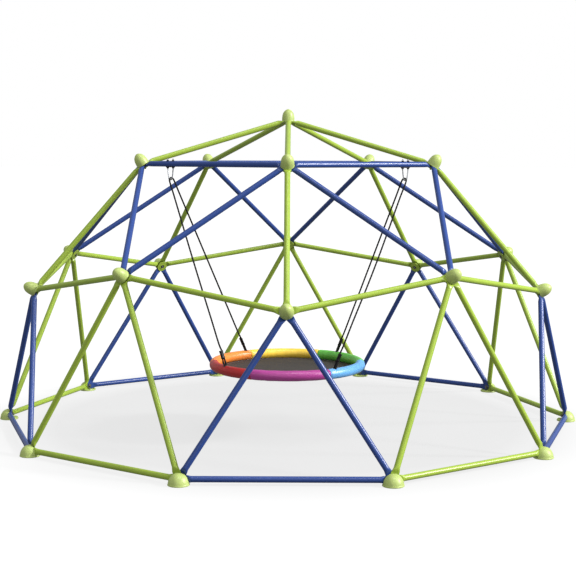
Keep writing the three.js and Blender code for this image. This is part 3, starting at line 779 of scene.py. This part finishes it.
for side in ("left", "right"):
    at, along = hang_point(side)
    across = np.cross(UP, along)
    place = lambda s, z: at + along * s + UP * z
    half = [(ROD_HALF, 0.0305), (ROD_HALF, 0.010), (ROD_HALF, -0.010), (ROD_HALF, -0.026)]
    cz, fx, fz = -HANGER_APEX + HANGER_BEND, ROD_HALF, -0.030
    a0 = math.atan2(fz - cz, fx) - math.acos(HANGER_BEND / math.hypot(fx, fz - cz))
    tx, tz = HANGER_BEND * math.cos(a0), cz + HANGER_BEND * math.sin(a0)
    half += [(fx + (tx - fx) * t, fz + (tz - fz) * t) for t in (0.08, 0.4, 0.7, 0.9)]
    for t in np.linspace(0, 1, 7):
        a = a0 + (-math.pi / 2 - a0) * t
        half.append((HANGER_BEND * math.cos(a), cz + HANGER_BEND * math.sin(a)))
    pts = [place(s, z) for s, z in half] + [place(-s, z) for s, z in half[:-1][::-1]]
    line = spline(pts, 0.0015)
    v1 = loft(sweep(line, ROD_R, 20, across))
    ends = [threaded(UP, place(q * ROD_HALF, 0.0165), ROD_R * 1.04, 0.0150) for q in (-1, 1)]
    v, f = merge([v1, *ends])
    rod = mesh_object(f"hanger_rod_{side}", v, f, M["zinc"], sharp=35)
    parts = []
    for q in (-1, 1):
        ang, rows = hex_nut(7.6 * MM, 6.6 * MM)
        parts.append(put_rings(ang, rows, UP, place(q * ROD_HALF, 0.0178), along, rng.uniform(0, 1)))
        parts.append(lathe([(0, 0), (8.6 * MM, 0), (9 * MM, 0.4 * MM), (9 * MM, 1.2 * MM), (8.6 * MM, 1.6 * MM), (0, 1.6 * MM)], 36, UP, place(q * ROD_HALF, 0.0160)))
        parts.append(put_rings(ang, rows, -UP, place(q * ROD_HALF, -0.0204), along, rng.uniform(0, 1)))
    v, f = merge(parts)
    nuts = mesh_object(f"hanger_nuts_{side}", v, f, M["black"], sharp=30)
    # curved saddle under the tube: a plate with rolled ends and a hollow that fits the tube
    rows = []
    for s in np.linspace(-0.0332, 0.0332, 27):
        e = math.sqrt(max(0.0, 1 - (max(0.0, abs(s) - 0.0252) / 0.0082) ** 2))
        wid = 0.0030 + 0.0052 * e
        prof = []
        for yy in np.linspace(-wid, wid, 9):
            prof.append((yy, -math.sqrt(max(0.0, 0.0163 ** 2 - yy ** 2)) - 0.0002 if abs(yy) < 0.0162 else -0.0163))
        for yy in np.linspace(wid, -wid, 9):
            prof.append((yy, -0.0203 + 0.0012 * (abs(yy) / 0.0082) ** 3))
        rows.append([place(s, 0) + across * yy + UP * zz for yy, zz in prof])
    v, f = loft(rows)
    saddle = mesh_object(f"hanger_saddle_plate_{side}", v, f, M["black"], sharp=35)
    for o, slot, node in ((rod, "zinc_steel", f"swing_hanger_{side}"), (nuts, "black_steel", f"hanger_saddle_{side}"), (saddle, "black_steel", f"hanger_saddle_{side}")):
        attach(o, "root")
        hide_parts(node)


# ------------------------------------------------------------------ saucer: steel ring, padded sleeves, mat
def ring_dir(deg):
    return np.array([math.sin(deg * D), -math.cos(deg * D), 0.0])


def torus_point(deg, r, phi):
    """phi is measured from outwards, over the top."""
    d = ring_dir(deg)
    return SEAT + d * (SEAT_R + r * math.cos(phi)) + UP * (r * math.sin(phi))


rings = [[torus_point(a, 12.5 * MM, p) for p in np.linspace(0, 2 * math.pi, 20, endpoint=False)] for a in np.linspace(0, 360, 144, endpoint=False)]
v, f = loft(rings, cyclic=True)
steel = mesh_object("saucer_steel_ring", v, f, M["zinc"], sharp=60)
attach(steel, "swing")
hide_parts("seat_ring")

ROPE_AT = {"right_front": 37, "right_back": 137, "left_back": -145, "left_front": -53}
SLEEVES = [("magenta", -27), ("sky", 33), ("leaf", 90), ("yellow", 153), ("orange", 213), ("red", 273)]
SLIT_LONG, SLIT_WIDE = 12.6 * MM, 6.6 * MM
EYE_HALF = 6.0 * MM  # half the distance between the two strands of an eye


def rope_lines(side):
    """Where one rope goes: its arc over the hanger and its two straight strands, each from a point on the ring's centreline."""
    at, along = hang_point(side)
    apex = at - UP * HANGER_APEX
    fd, bd = ROPE_AT[f"{side}_front"], ROPE_AT[f"{side}_back"]
    f, b = SEAT + ring_dir(fd) * SEAT_R, SEAT + ring_dir(bd) * SEAT_R
    down = unit((f + b) / 2 - apex)
    up = -down
    top = apex + UP * HANGER_BEND + down * (HANGER_BEND - ROD_R - 1.15 * ROPE_R - 1.8 * MM)
    c = top + down * ROPE_ARC
    q = unit(np.cross(UP, along))
    q = unit(q - down * np.dot(q, down))
    ends = []
    for end, sign, deg in ((f, -1, fd), (b, 1, bd)):
        d = end - c
        x, y = np.dot(d, q) * sign, np.dot(d, up)
        dist = math.hypot(x, y)
        a = math.atan2(y, x) + math.acos(ROPE_ARC / dist)
        leave = c + q * sign * ROPE_ARC * math.cos(a) + up * ROPE_ARC * math.sin(a)
        ends.append({"end": end, "deg": deg, "a": a, "leave": leave, "dir": unit(leave - end), "long": np.linalg.norm(leave - end)})
    return c, q, up, ends


STRANDS = {side: rope_lines(side) for side in ("left", "right")}


def strand_axes(end):
    """Outwards across the ring, and along the ring, both square to the strand."""
    o = ring_dir(end["deg"])
    tangent = np.cross(UP, o)
    across = unit(o - end["dir"] * np.dot(o, end["dir"]))
    return o, tangent, across


SLITS = []
for side in STRANDS:
    for end in STRANDS[side][3]:
        o, tangent, across = strand_axes(end)
        d = end["dir"]
        # where the strand's middle line passes the padded surface
        t = PAD_R / math.hypot(np.dot(d, o), d[2])
        SLITS.append((end["deg"] + math.degrees(np.dot(d, tangent) * t / SEAT_R), math.atan2(d[2], np.dot(d, o)), end["deg"], np.dot(d, tangent) * t))


def lumps(n, size, seed):
    """A smooth random row of n values with lumps about size samples long."""
    g = np.random.default_rng(seed)
    x = g.normal(size=n + 6 * size)
    ker = np.exp(-0.5 * (np.arange(-3 * size, 3 * size + 1) / size) ** 2)
    y = np.convolve(x, ker / math.sqrt((ker ** 2).sum()), "same")[3 * size : 3 * size + n]
    return y


def around(deg, other):
    return (deg - other + 180) % 360 - 180


def surface(us_lumps, us0, us1, amount):
    return lambda u: np.interp(u, np.linspace(us0, us1, len(us_lumps)), us_lumps) * amount


ARC = SEAT_R * D
UNDER = -106 * D  # where the mat goes in
for index, (colour, start) in enumerate(SLEEVES):
    nxt = SLEEVES[(index + 1) % 6][1] + (360 if index == 5 else 0)
    span = nxt - start
    gap = 0.05  # degrees at each end, so neighbours butt with a narrow dark seam
    u0, u1 = start + gap, start + span - gap
    mine = [x for x in SLITS if -3 < around(x[0], start) < span + 3 and 0 < around(x[0], start) < span]
    us = list(np.linspace(u0, u1, 128))
    vs = list(np.linspace(-math.pi, math.pi, 52, endpoint=False))
    for deg, phi, _, _ in mine:
        deg = u0 + (deg - u0) % 360
        us = [u for u in us if abs(u - deg) * ARC > 0.017] + list(deg + np.linspace(-0.016, 0.016, 33) / ARC)
        vs = [w for w in vs if abs(w - phi) * PAD_R > 0.023] + list(phi + np.linspace(-0.022, 0.022, 35) / PAD_R)
    us, vs = np.array(sorted(us)), np.array(sorted(vs))
    us = us[(us >= u0) & (us <= u1)]
    us[0], us[-1] = u0, u1
    NU, NV = len(us), len(vs)
    near = np.minimum(us - us[0], us[-1] - us) * ARC  # metres from the nearer seam
    # gathers: ridges along the sleeve that die away from the seams
    wave = lumps(64, 4, 100 + index)
    wave = wave * smoothstep(np.arange(64) / 16) + wave[0] * (1 - smoothstep(np.arange(64) / 16))
    g0 = 1 + 0.45 * np.interp(vs, np.linspace(-math.pi, math.pi, 64), wave)
    folds = np.zeros((NU, NV))
    for kk, amp, fade, seed in ((13, 0.95, 0.017, 1), (8, 0.80, 0.038, 2), (21, 0.40, 0.010, 3)):
        ph0, ph1 = rng.uniform(0, 6.28, 2)
        lean = rng.uniform(-6, 6)
        mix = (us - us[0]) / (us[-1] - us[0])
        phase = ph0 * (1 - mix) + ph1 * mix
        folds += amp * np.exp(-near / fade)[:, None] * np.sin(kk * vs[None, :] + phase[:, None] + lean * near[:, None] * 10) * g0[None, :]
    # cross creases where the cloth bunches on the inside of the bend, and a few on top
    grid = np.linspace(us[0], us[-1], 150)
    row = lumps(150, 3, 200 + index) * 0.62 + lumps(150, 7, 300 + index) * 0.75
    slant = np.interp(us, grid, lumps(150, 20, 400 + index) * 0.06)
    inner = 0.5 - 0.5 * np.cos(vs)  # 1 at the inside
    cross = np.zeros((NU, NV))
    for j, ph in enumerate(vs):
        cross[:, j] = np.interp(us + slant * 30 * math.sin(ph), grid, row) * (0.18 + 0.95 * inner[j] ** 1.6)
    rad = PAD_R - 0.0009 + (folds * 0.62 + cross * 0.60) * MM
    # groove at the underside where the mat goes in, between two turned-in edges
    dv = (vs - UNDER + math.pi) % (2 * math.pi) - math.pi
    # the cloth is drawn in at the seams, except beside the mat
    drawn = (1 - 0.9 * np.exp(-((dv / 0.5) ** 2)))[None, :]
    rad -= ((2.6 * MM * np.exp(-((near / 0.0045) ** 2)))[:, None] + (0.8 * MM * np.exp(-near / 0.02))[:, None]) * drawn
    rad -= (3.8 * MM * np.exp(-((dv / 0.155) ** 2)))[None, :]
    rad += (0.7 * MM * np.exp(-(((np.abs(dv) - 0.36) / 0.13) ** 2)))[None, :]
    inside = np.full((NU, NV), 12.9 * MM)
    hole = np.zeros((NU, NV), bool)  # cells by their first corner
    um, vm = (us[:-1] + us[1:]) / 2, (vs + np.roll(vs, -1)) / 2
    for deg, phi, base, lean_m in mine:
        deg = us[0] + (deg - us[0]) % 360
        along_m, across_m = (us - deg) * ARC, (vs - phi) * PAD_R
        e = np.sqrt((along_m[:, None] / SLIT_WIDE) ** 2 + (across_m[None, :] / SLIT_LONG) ** 2)
        # dimple round the slit, and pulls that run out from its two ends
        rad = np.where(e < 6, rad - 1.7 * MM * np.exp(-(((np.maximum(e, 1.0) - 1.0) / 0.9) ** 2)), rad)
        ang = np.arctan2(along_m[:, None] / SLIT_WIDE, across_m[None, :] / SLIT_LONG)
        rad += 0.75 * MM * np.cos(6 * ang + 1.1) * np.exp(-(((e - 2.0) / 0.9) ** 2))
        # room for the rope round the steel ring
        basedeg = us[0] + (base - us[0]) % 360
        mid = (us - basedeg) * ARC
        lo, hi = min(0.0, lean_m) - 6.2 * MM, max(0.0, lean_m) + 6.2 * MM
        out_by = np.maximum(lo - mid, mid - hi)
        inside = np.maximum(inside, (12.9 * MM + (23.8 - 12.9) * MM * (1 - smoothstep((out_by + 0.0005) / 0.004)))[:, None])
        cm, am = (um - deg) * ARC, (vm - phi) * PAD_R
        hole[:-1] |= np.sqrt((cm[:, None] / SLIT_WIDE) ** 2 + (am[None, :] / SLIT_LONG) ** 2) < 1.0
    outer_pts = np.array([[torus_point(u, rad[i, j], vs[j]) for j in range(NV)] for i, u in enumerate(us)])
    inner_pts = np.array([[torus_point(u, inside[i, j], vs[j]) for j in range(NV)] for i, u in enumerate(us)])
    # the ends are turned in over the foam: one row part of the way down at each end
    def part_way(i, r):
        return np.array([torus_point(us[i], min(r, rad[i, j]), vs[j]) for j in range(NV)])
    strip = [part_way(0, 21 * MM), part_way(-1, 21 * MM)]
    verts = np.concatenate([outer_pts.reshape(-1, 3), inner_pts.reshape(-1, 3), strip[0], strip[1]])
    A, B, C0, C1 = 0, NU * NV, 2 * NU * NV, 2 * NU * NV + NV
    faces = []
    for i in range(NU - 1):
        for j in range(NV):
            j2 = (j + 1) % NV
            if hole[i, j]:
                # a wall of foam and cloth at each side of the slit
                for (i0, j0, ia, ja, ib, jb) in ((i - 1, j, i, j, i, j2), (i + 1, j, i + 1, j, i + 1, j2), (i, (j - 1) % NV, i, j, i + 1, j), (i, j2, i, j2, i + 1, j2)):
                    if not (0 <= i0 < NU - 1 and hole[i0, j0]):
                        faces.append((A + ia * NV + ja, A + ib * NV + jb, B + ib * NV + jb, B + ia * NV + ja))
                continue
            faces.append((A + i * NV + j, A + i * NV + j2, A + (i + 1) * NV + j2, A + (i + 1) * NV + j))
            faces.append((B + i * NV + j, B + (i + 1) * NV + j, B + (i + 1) * NV + j2, B + i * NV + j2))
    for j in range(NV):
        j2 = (j + 1) % NV
        for edge, ring, row0 in ((0, C0, 0), (1, C1, NU - 1)):
            faces.append((A + row0 * NV + j, A + row0 * NV + j2, ring + j2, ring + j))
            faces.append((ring + j, ring + j2, B + row0 * NV + j2, B + row0 * NV + j))
    uv = [(u * ARC, w * PAD_R) for u in us for w in vs] + [(u * ARC, w * 0.013) for u in us for w in vs] + [(us[0] * ARC, w * 0.021) for w in vs] + [(us[-1] * ARC, w * 0.021) for w in vs]
    keep = sorted({k for f in faces for k in f})
    new_id = {k: n for n, k in enumerate(keep)}
    o = mesh_object(f"sleeve_{colour}", verts[keep], [tuple(new_id[k] for k in f) for f in faces], M[colour], sharp=60, uv=[uv[k] for k in keep])
    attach(o, "swing")
    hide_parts("seat_sleeve")
    # bound edge of each slit: a cord sewn round it
    for n, (deg, phi, base, lean_m) in enumerate(mine):
        deg = us[0] + (deg - us[0]) % 360
        line = []
        for a in np.linspace(0, 2 * math.pi, 64, endpoint=False):
            uu, ww = deg + SLIT_WIDE * 1.06 * math.sin(a) / ARC, phi + SLIT_LONG * 1.03 * math.cos(a) / PAD_R
            i, j = int(np.argmin(np.abs(us - uu))), int(np.argmin(np.abs(vs - ww)))
            line.append((uu, rad[i, j] + 0.2 * MM, ww))
        line = np.array(line)
        line[:, 1] = np.convolve(np.concatenate([line[-4:, 1], line[:, 1], line[:4, 1]]), np.ones(9) / 9, "valid")
        pts = np.array([torus_point(u, r, w) for u, r, w in line])
        tang = np.roll(pts, -1, 0) - np.roll(pts, 1, 0)
        rows = []
        for m in range(64):
            t = unit(tang[m])
            out_n = unit(pts[m] - torus_point(line[m, 0], 0.0, 0.0))
            x = unit(out_n - t * np.dot(out_n, t))
            y = np.cross(t, x)
            aa = np.linspace(0, 2 * math.pi, 12, endpoint=False)
            r = (1.55 + 0.12 * math.cos(m * math.pi / 2)) * MM
            rows.append(pts[m] + np.outer(r * np.cos(aa), x) + np.outer(r * 1.15 * np.sin(aa), y))
        v, f = loft(rows, cyclic=True)
        bind = mesh_object(f"slit_binding_{colour}_{n + 1}", v, f, M["hem"], sharp=70, uv=[(m * 0.001, k * 0.0008) for m in range(64) for k in range(12)])
        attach(bind, "swing")
        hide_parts("seat_sleeve")

# mat: taut disc of woven cloth, dished a little, with faint pull lines towards the rim
MAT_OUT = 0.4335
NR, NA = 46, 180
mat_rows, uv = [], []
radii = np.concatenate([[0.0], np.linspace(0.012, MAT_OUT, NR)])
pull = lumps(NA * 3, 3, 900)[NA : 2 * NA] * 0.8 + lumps(NA * 3, 8, 901)[NA : 2 * NA] * 0.6
blend = smoothstep(np.arange(NA) / 24.0)
pull = pull * blend + np.roll(pull, NA // 2) * (1 - blend)


def mat_height(r, j):
    dish = -0.0045 * (1 - (r / MAT_OUT) ** 2)
    lines = 0.0009 * pull[j % NA] * smoothstep((r - 0.18) / 0.20) * (1 - 0.85 * smoothstep((r - 0.385) / 0.03))
    return dish + lines - MAT_DROP


for side in (1, -1):
    for r in radii[1:]:
        ring = []
        for j in range(NA):
            a = 2 * math.pi * j / NA
            x, y = r * math.cos(a), r * math.sin(a)
            ring.append(SEAT + np.array([x, y, mat_height(r, j) + side * 1.3 * MM]))
            uv.append((x, y))
        mat_rows.append(ring)
top_rows, low_rows = mat_rows[:NR], mat_rows[NR:][::-1]
uvt, uvl = uv[: NR * NA], uv[NR * NA :]
uvl = [p for i in range(NR - 1, -1, -1) for p in uvl[i * NA : (i + 1) * NA]]
v, f = loft(top_rows + low_rows, close_ends=False)
n = len(v)
c_top, c_low = SEAT + np.array([0, 0, -0.0045 - MAT_DROP + 1.3 * MM]), SEAT + np.array([0, 0, -0.0045 - MAT_DROP - 1.3 * MM])
v = np.concatenate([v, [c_top, c_low]])
for j in range(NA):
    f.append((n, j, (j + 1) % NA))
    last = (2 * NR - 1) * NA
    f.append((n + 1, last + (j + 1) % NA, last + j))
mat_obj = mesh_object("saucer_mat", v, f, M["mat"], sharp=60, uv=uvt + uvl + [(0, 0), (0, 0)])
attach(mat_obj, "swing")
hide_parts("seat_mat")

# hem tape round the mat, with two rows of stitches above and below
tape_rows, uv = [], []
prof = [(0.4005, 0.0), (0.4008, 0.7), (0.4030, 0.95), (0.4110, 1.0), (0.4180, 0.95), (0.4205, 0.5), (0.4205, -0.5), (0.4180, -0.95), (0.4110, -1.0), (0.4030, -0.95), (0.4008, -0.7)]
for j in range(NA):
    a = 2 * math.pi * j / NA
    ring = []
    for i, (r, z) in enumerate(prof):
        zz = mat_height(r, j) + (1.3 * MM * np.sign(z) if abs(z) > 1e-9 else 0) + z * MM
        ring.append(SEAT + np.array([r * math.cos(a), r * math.sin(a), zz]))
        uv.append((a * 0.4, i * 0.003))
    tape_rows.append(ring)
v, f = loft(tape_rows, cyclic=True)
hem = mesh_object("mat_hem_tape", v, f, M["hem"], sharp=50, uv=uv)
stitches = []
cap_a = np.linspace(0, 2 * math.pi, 6, endpoint=False)
for r in (0.4033, 0.4180):
    count = 300 if r < 0.41 else 312
    for i in range(count):
        a = 2 * math.pi * (i + 0.5) / count
        j = a / (2 * math.pi) * NA
        zz = mat_height(r, int(round(j)) % NA)
        for side in (1, -1):
            d = np.array([-math.sin(a), math.cos(a), 0])
            o = np.array([math.cos(a), math.sin(a), 0])
            c = SEAT + o * r + UP * (zz + side * 2.4 * MM)
            rows = []
            for t, rr, lift in ((-2.6, 0.12, -0.5), (-2.2, 0.42, -0.15), (-0.8, 0.5, 0.05), (0.8, 0.5, 0.05), (2.2, 0.42, -0.15), (2.6, 0.12, -0.5)):
                cc = c + d * t * MM + UP * side * lift * MM
                rows.append(cc + np.outer(np.cos(cap_a) * rr * MM, o) + np.outer(np.sin(cap_a) * rr * MM, UP))
            stitches.append(loft(rows))
v, f = merge(stitches)
st = mesh_object("mat_stitching", v, f, M["thread"], sharp=70)
for o in (hem, st):
    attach(o, "swing")
    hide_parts("seat_mat")

# ------------------------------------------------------------------ ropes
BRAID = 2.0 * MM


def rope_path(side):
    c, q, up, (front, back) = STRANDS[side]

    def eye(end):
        """From inside the adjuster down through the slit, round the steel ring inside the padding, and back up to the adjuster."""
        o, tangent, across = strand_axes(end)
        d, at = end["dir"], end["end"]
        section_up = unit(d - tangent * np.dot(d, tangent))
        section_out = unit(np.cross(tangent, section_up))
        if np.dot(section_out, o) < 0:
            section_out = -section_out
        rr = 12.5 * MM + ROPE_R + 0.15 * MM
        pts = [at + d * 119 * MM + across * 5.4 * MM, at + d * 100 * MM + across * 5.4 * MM, at + d * 78 * MM + across * 5.4 * MM]
        pts += [at + d * 60 * MM + across * (EYE_HALF + 1.6 * MM), at + d * 42 * MM + across * (EYE_HALF + 1.0 * MM), at + d * 31 * MM + across * (EYE_HALF + 0.6 * MM)]
        low = []
        for a in np.radians(np.linspace(48, -228, 18)):
            lift = max(0.0, math.sin(a)) * rr
            low.append(at + section_out * rr * math.cos(a) + section_up * rr * math.sin(a) + tangent * np.dot(d, tangent) * lift)
        pts += low
        pts += [at + d * 31 * MM - across * (EYE_HALF + 0.6 * MM), at + d * 42 * MM - across * (EYE_HALF + 1.0 * MM), at + d * 60 * MM - across * (EYE_HALF + 1.6 * MM)]
        pts += [at + d * 78 * MM - across * 5.4 * MM, at + d * 100 * MM - across * 5.4 * MM, at + d * 123 * MM - across * 5.4 * MM]
        pts += [at + d * 142 * MM - across * 2.0 * MM, at + d * 165 * MM]
        return pts

    pts = eye(front)
    # the front strand on the right side is a little slack: it bows outwards
    slack = 0.012 if side == "right" else 0.004
    bow_dir = -q
    for t in (0.25, 0.35, 0.45, 0.55, 0.65, 0.75, 0.85, 0.92):
        w = np.sin(math.pi * (t - 0.12) / 0.88) ** 2 if t > 0.12 else 0
        pts.append(front["end"] + front["dir"] * front["long"] * t + bow_dir * slack * w)
    a0, a1 = math.pi - front["a"], back["a"]
    for t in np.linspace(0, 1, 9):
        a = a0 + (a1 - a0) * t
        pts.append(c + q * ROPE_ARC * math.cos(a) + up * ROPE_ARC * math.sin(a))
    for t in (0.92, 0.8, 0.6, 0.4, 0.25):
        pts.append(back["end"] + back["dir"] * back["long"] * t)
    pts += eye(back)[::-1]
    line = spline(pts, BRAID)
    return line, [(e["end"], e["dir"], ring_dir(e["deg"])) for e in (front, back)]


def adjuster_mesh(end, dirn, out, name):
    """Two-hole rope adjuster: a waisted moulded block with rolled mouths, the rope going through it twice."""
    tangent = np.cross(UP, out)
    side = unit(np.cross(tangent, dirn))
    if np.dot(side, out) < 0:
        side = -side
    thick = np.cross(dirn, side)
    rows = []
    N = 40
    a = np.linspace(0, 2 * math.pi, N, endpoint=False)
    for t, w, th, p in ((75.0, 9.2, 5.4, 3.0), (75.6, 11.4, 7.3, 3.2), (77.6, 12.4, 8.2, 3.4), (80.5, 12.2, 8.0, 3.4), (84, 11.5, 7.5, 3.2), (92, 11.2, 7.3, 3.0), (105, 11.2, 7.3, 3.0), (114, 11.5, 7.5, 3.2), (118, 12.2, 8.0, 3.4), (121.4, 12.4, 8.2, 3.4), (123.4, 11.4, 7.3, 3.2), (124.0, 9.2, 5.4, 3.0)):
        x = w * MM * np.sign(np.cos(a)) * np.abs(np.cos(a)) ** (2 / p)
        y = th * MM * np.sign(np.sin(a)) * np.abs(np.sin(a)) ** (2 / p)
        rows.append(end + dirn * t * MM + np.outer(x, side) + np.outer(y, thick))
    v, f = loft(rows)
    # grip ribs across the waist
    parts = [(v, f)]
    for t in (90, 94.5, 99, 103.5, 108):
        rr = []
        for dt, k in ((-1.1, 0.96), (-0.6, 1.055), (0.6, 1.055), (1.1, 0.96)):
            x = 11.1 * k * MM * np.sign(np.cos(a)) * np.abs(np.cos(a)) ** (2 / 3.0)
            y = 7.2 * k * MM * np.sign(np.sin(a)) * np.abs(np.sin(a)) ** (2 / 3.0)
            rr.append(end + dirn * (t + dt) * MM + np.outer(x, side) + np.outer(y, thick))
        parts.append(loft(rr))
    v, f = merge(parts)
    return mesh_object(name, v, f, M["adjuster"], sharp=40)


for side in ("left", "right"):
    line, ends = rope_path(side)
    t, n, b = frames_along(line, UP if abs(unit(line[1] - line[0])[2]) < 0.9 else np.array([1.0, 0, 0]))
    a = np.linspace(0, 2 * math.pi, 20, endpoint=False)
    along = np.arange(len(line)) * BRAID
    rings = []
    for i, p in enumerate(line):
        # eight strands each way make the diamond pattern of a braid
        w = 2 * math.pi * along[i] / 0.022
        h1, h2 = np.cos(4 * a + w), np.cos(4 * a - w)
        r = ROPE_R - 0.00045 + 0.00045 * np.maximum(h1, h2)
        rings.append(p + np.outer(r * np.cos(a), n[i]) + np.outer(r * np.sin(a), b[i]))
    v, f = loft(rings)
    rope = mesh_object(f"swing_rope_{side}", v, f, M["rope"], sharp=75)
    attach(rope, "swing")
    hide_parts(f"rope_{side}")
    for (end, dirn, out), where in zip(ends, ("front", "back")):
        o = adjuster_mesh(end, dirn, out, f"rope_adjuster_{side}_{where}")
        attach(o, "swing")
        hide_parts(f"rope_{side}")

# ------------------------------------------------------------------ floor, lights, world
v, f = box_mesh((-60, -14, -0.06), (60, 160, 0.0))
mat, nt, bsdf = new_material("floor")
nt.nodes.remove(bsdf)
co = object_coords(nt)
far = nt.nodes.new("ShaderNodeVectorMath")
far.operation = "LENGTH"
nt.links.new(co, far.inputs[0])
glow, paint, add = nt.nodes.new("ShaderNodeEmission"), nt.nodes.new("ShaderNodeBsdfDiffuse"), nt.nodes.new("ShaderNodeAddShader")
# painted shade: the floor's glow is dimmer within about 1.45 m of the middle, under the dome, and reaches full white
# by 2.3 m
nt.links.new(maprange(nt, far.outputs["Value"], 0.74, 0.99, 1.45, 2.3), glow.inputs["Strength"])
nt.links.new(ramp(nt, noise(nt, co, 0.7, 3), [(0.3, (0.985, 0.985, 0.985)), (0.7, (1.0, 1.0, 1.0))]), glow.inputs["Color"])
paint.inputs["Color"].default_value = (0.07, 0.07, 0.07, 1)
nt.links.new(glow.outputs[0], add.inputs[0])
nt.links.new(paint.outputs[0], add.inputs[1])
out_node = next(n for n in nt.nodes if n.type == "OUTPUT_MATERIAL")
# the floor is bright to the eye but gives only a little light to the undersides
dim, seen_by = nt.nodes.new("ShaderNodeEmission"), nt.nodes.new("ShaderNodeLightPath")
dim.inputs["Color"].default_value, dim.inputs["Strength"].default_value = (1, 1, 1, 1), 0.16
add_dim, pick = nt.nodes.new("ShaderNodeAddShader"), nt.nodes.new("ShaderNodeMixShader")
nt.links.new(dim.outputs[0], add_dim.inputs[0])
nt.links.new(paint.outputs[0], add_dim.inputs[1])
nt.links.new(seen_by.outputs["Is Camera Ray"], pick.inputs[0])
nt.links.new(add_dim.outputs[0], pick.inputs[1])
nt.links.new(add.outputs[0], pick.inputs[2])
nt.links.new(pick.outputs[0], out_node.inputs["Surface"])
floor = mesh_object("floor", v, f, mat)


def sun(name, toward, power, spread, color=(1, 1, 1)):
    """A far lamp; toward points from the object to the lamp."""
    d = bpy.data.lights.new(name, "SUN")
    d.energy, d.angle, d.color = power, spread * D, color
    o = link(bpy.data.objects.new(name, d))
    o.rotation_mode = "QUATERNION"
    o.rotation_quaternion = (-Vector(toward)).to_track_quat("-Z", "Y")
    return o


sun("key", (0.90, -0.16, 0.50), 3.7, 7)
sun("top", (0.20, -0.30, 1.0), 1.1, 26)
sun("front", (-0.25, -1.0, 0.35), 0.5, 60)
d = bpy.data.lights.new("near_right", "AREA")
d.energy, d.shape, d.size, d.size_y = 90.0, "RECTANGLE", 1.6, 1.6
o = link(bpy.data.objects.new("near_right", d))
o.location = (4.2, -2.0, 3.6)
o.rotation_mode = "QUATERNION"
o.rotation_quaternion = Vector((-4.2, 1.6, -2.6)).to_track_quat("-Z", "Y")

world = bpy.data.worlds.new("world")
bpy.context.scene.world = world
world.use_nodes = True
nt = world.node_tree
nt.nodes.clear()
out = nt.nodes.new("ShaderNodeOutputWorld")
seen, lit = nt.nodes.new("ShaderNodeBackground"), nt.nodes.new("ShaderNodeBackground")
seen.inputs["Color"].default_value, seen.inputs["Strength"].default_value = (1, 1, 1, 1), 1.0
lit.inputs["Color"].default_value, lit.inputs["Strength"].default_value = (0.95, 0.97, 1.0, 1), 0.46
path = nt.nodes.new("ShaderNodeLightPath")
mx = nt.nodes.new("ShaderNodeMixShader")
nt.links.new(path.outputs["Is Camera Ray"], mx.inputs[0])
nt.links.new(lit.outputs[0], mx.inputs[1])
nt.links.new(seen.outputs[0], mx.inputs[2])
nt.links.new(mx.outputs[0], out.inputs["Surface"])
bpy.context.scene.view_settings.view_transform = "Standard"
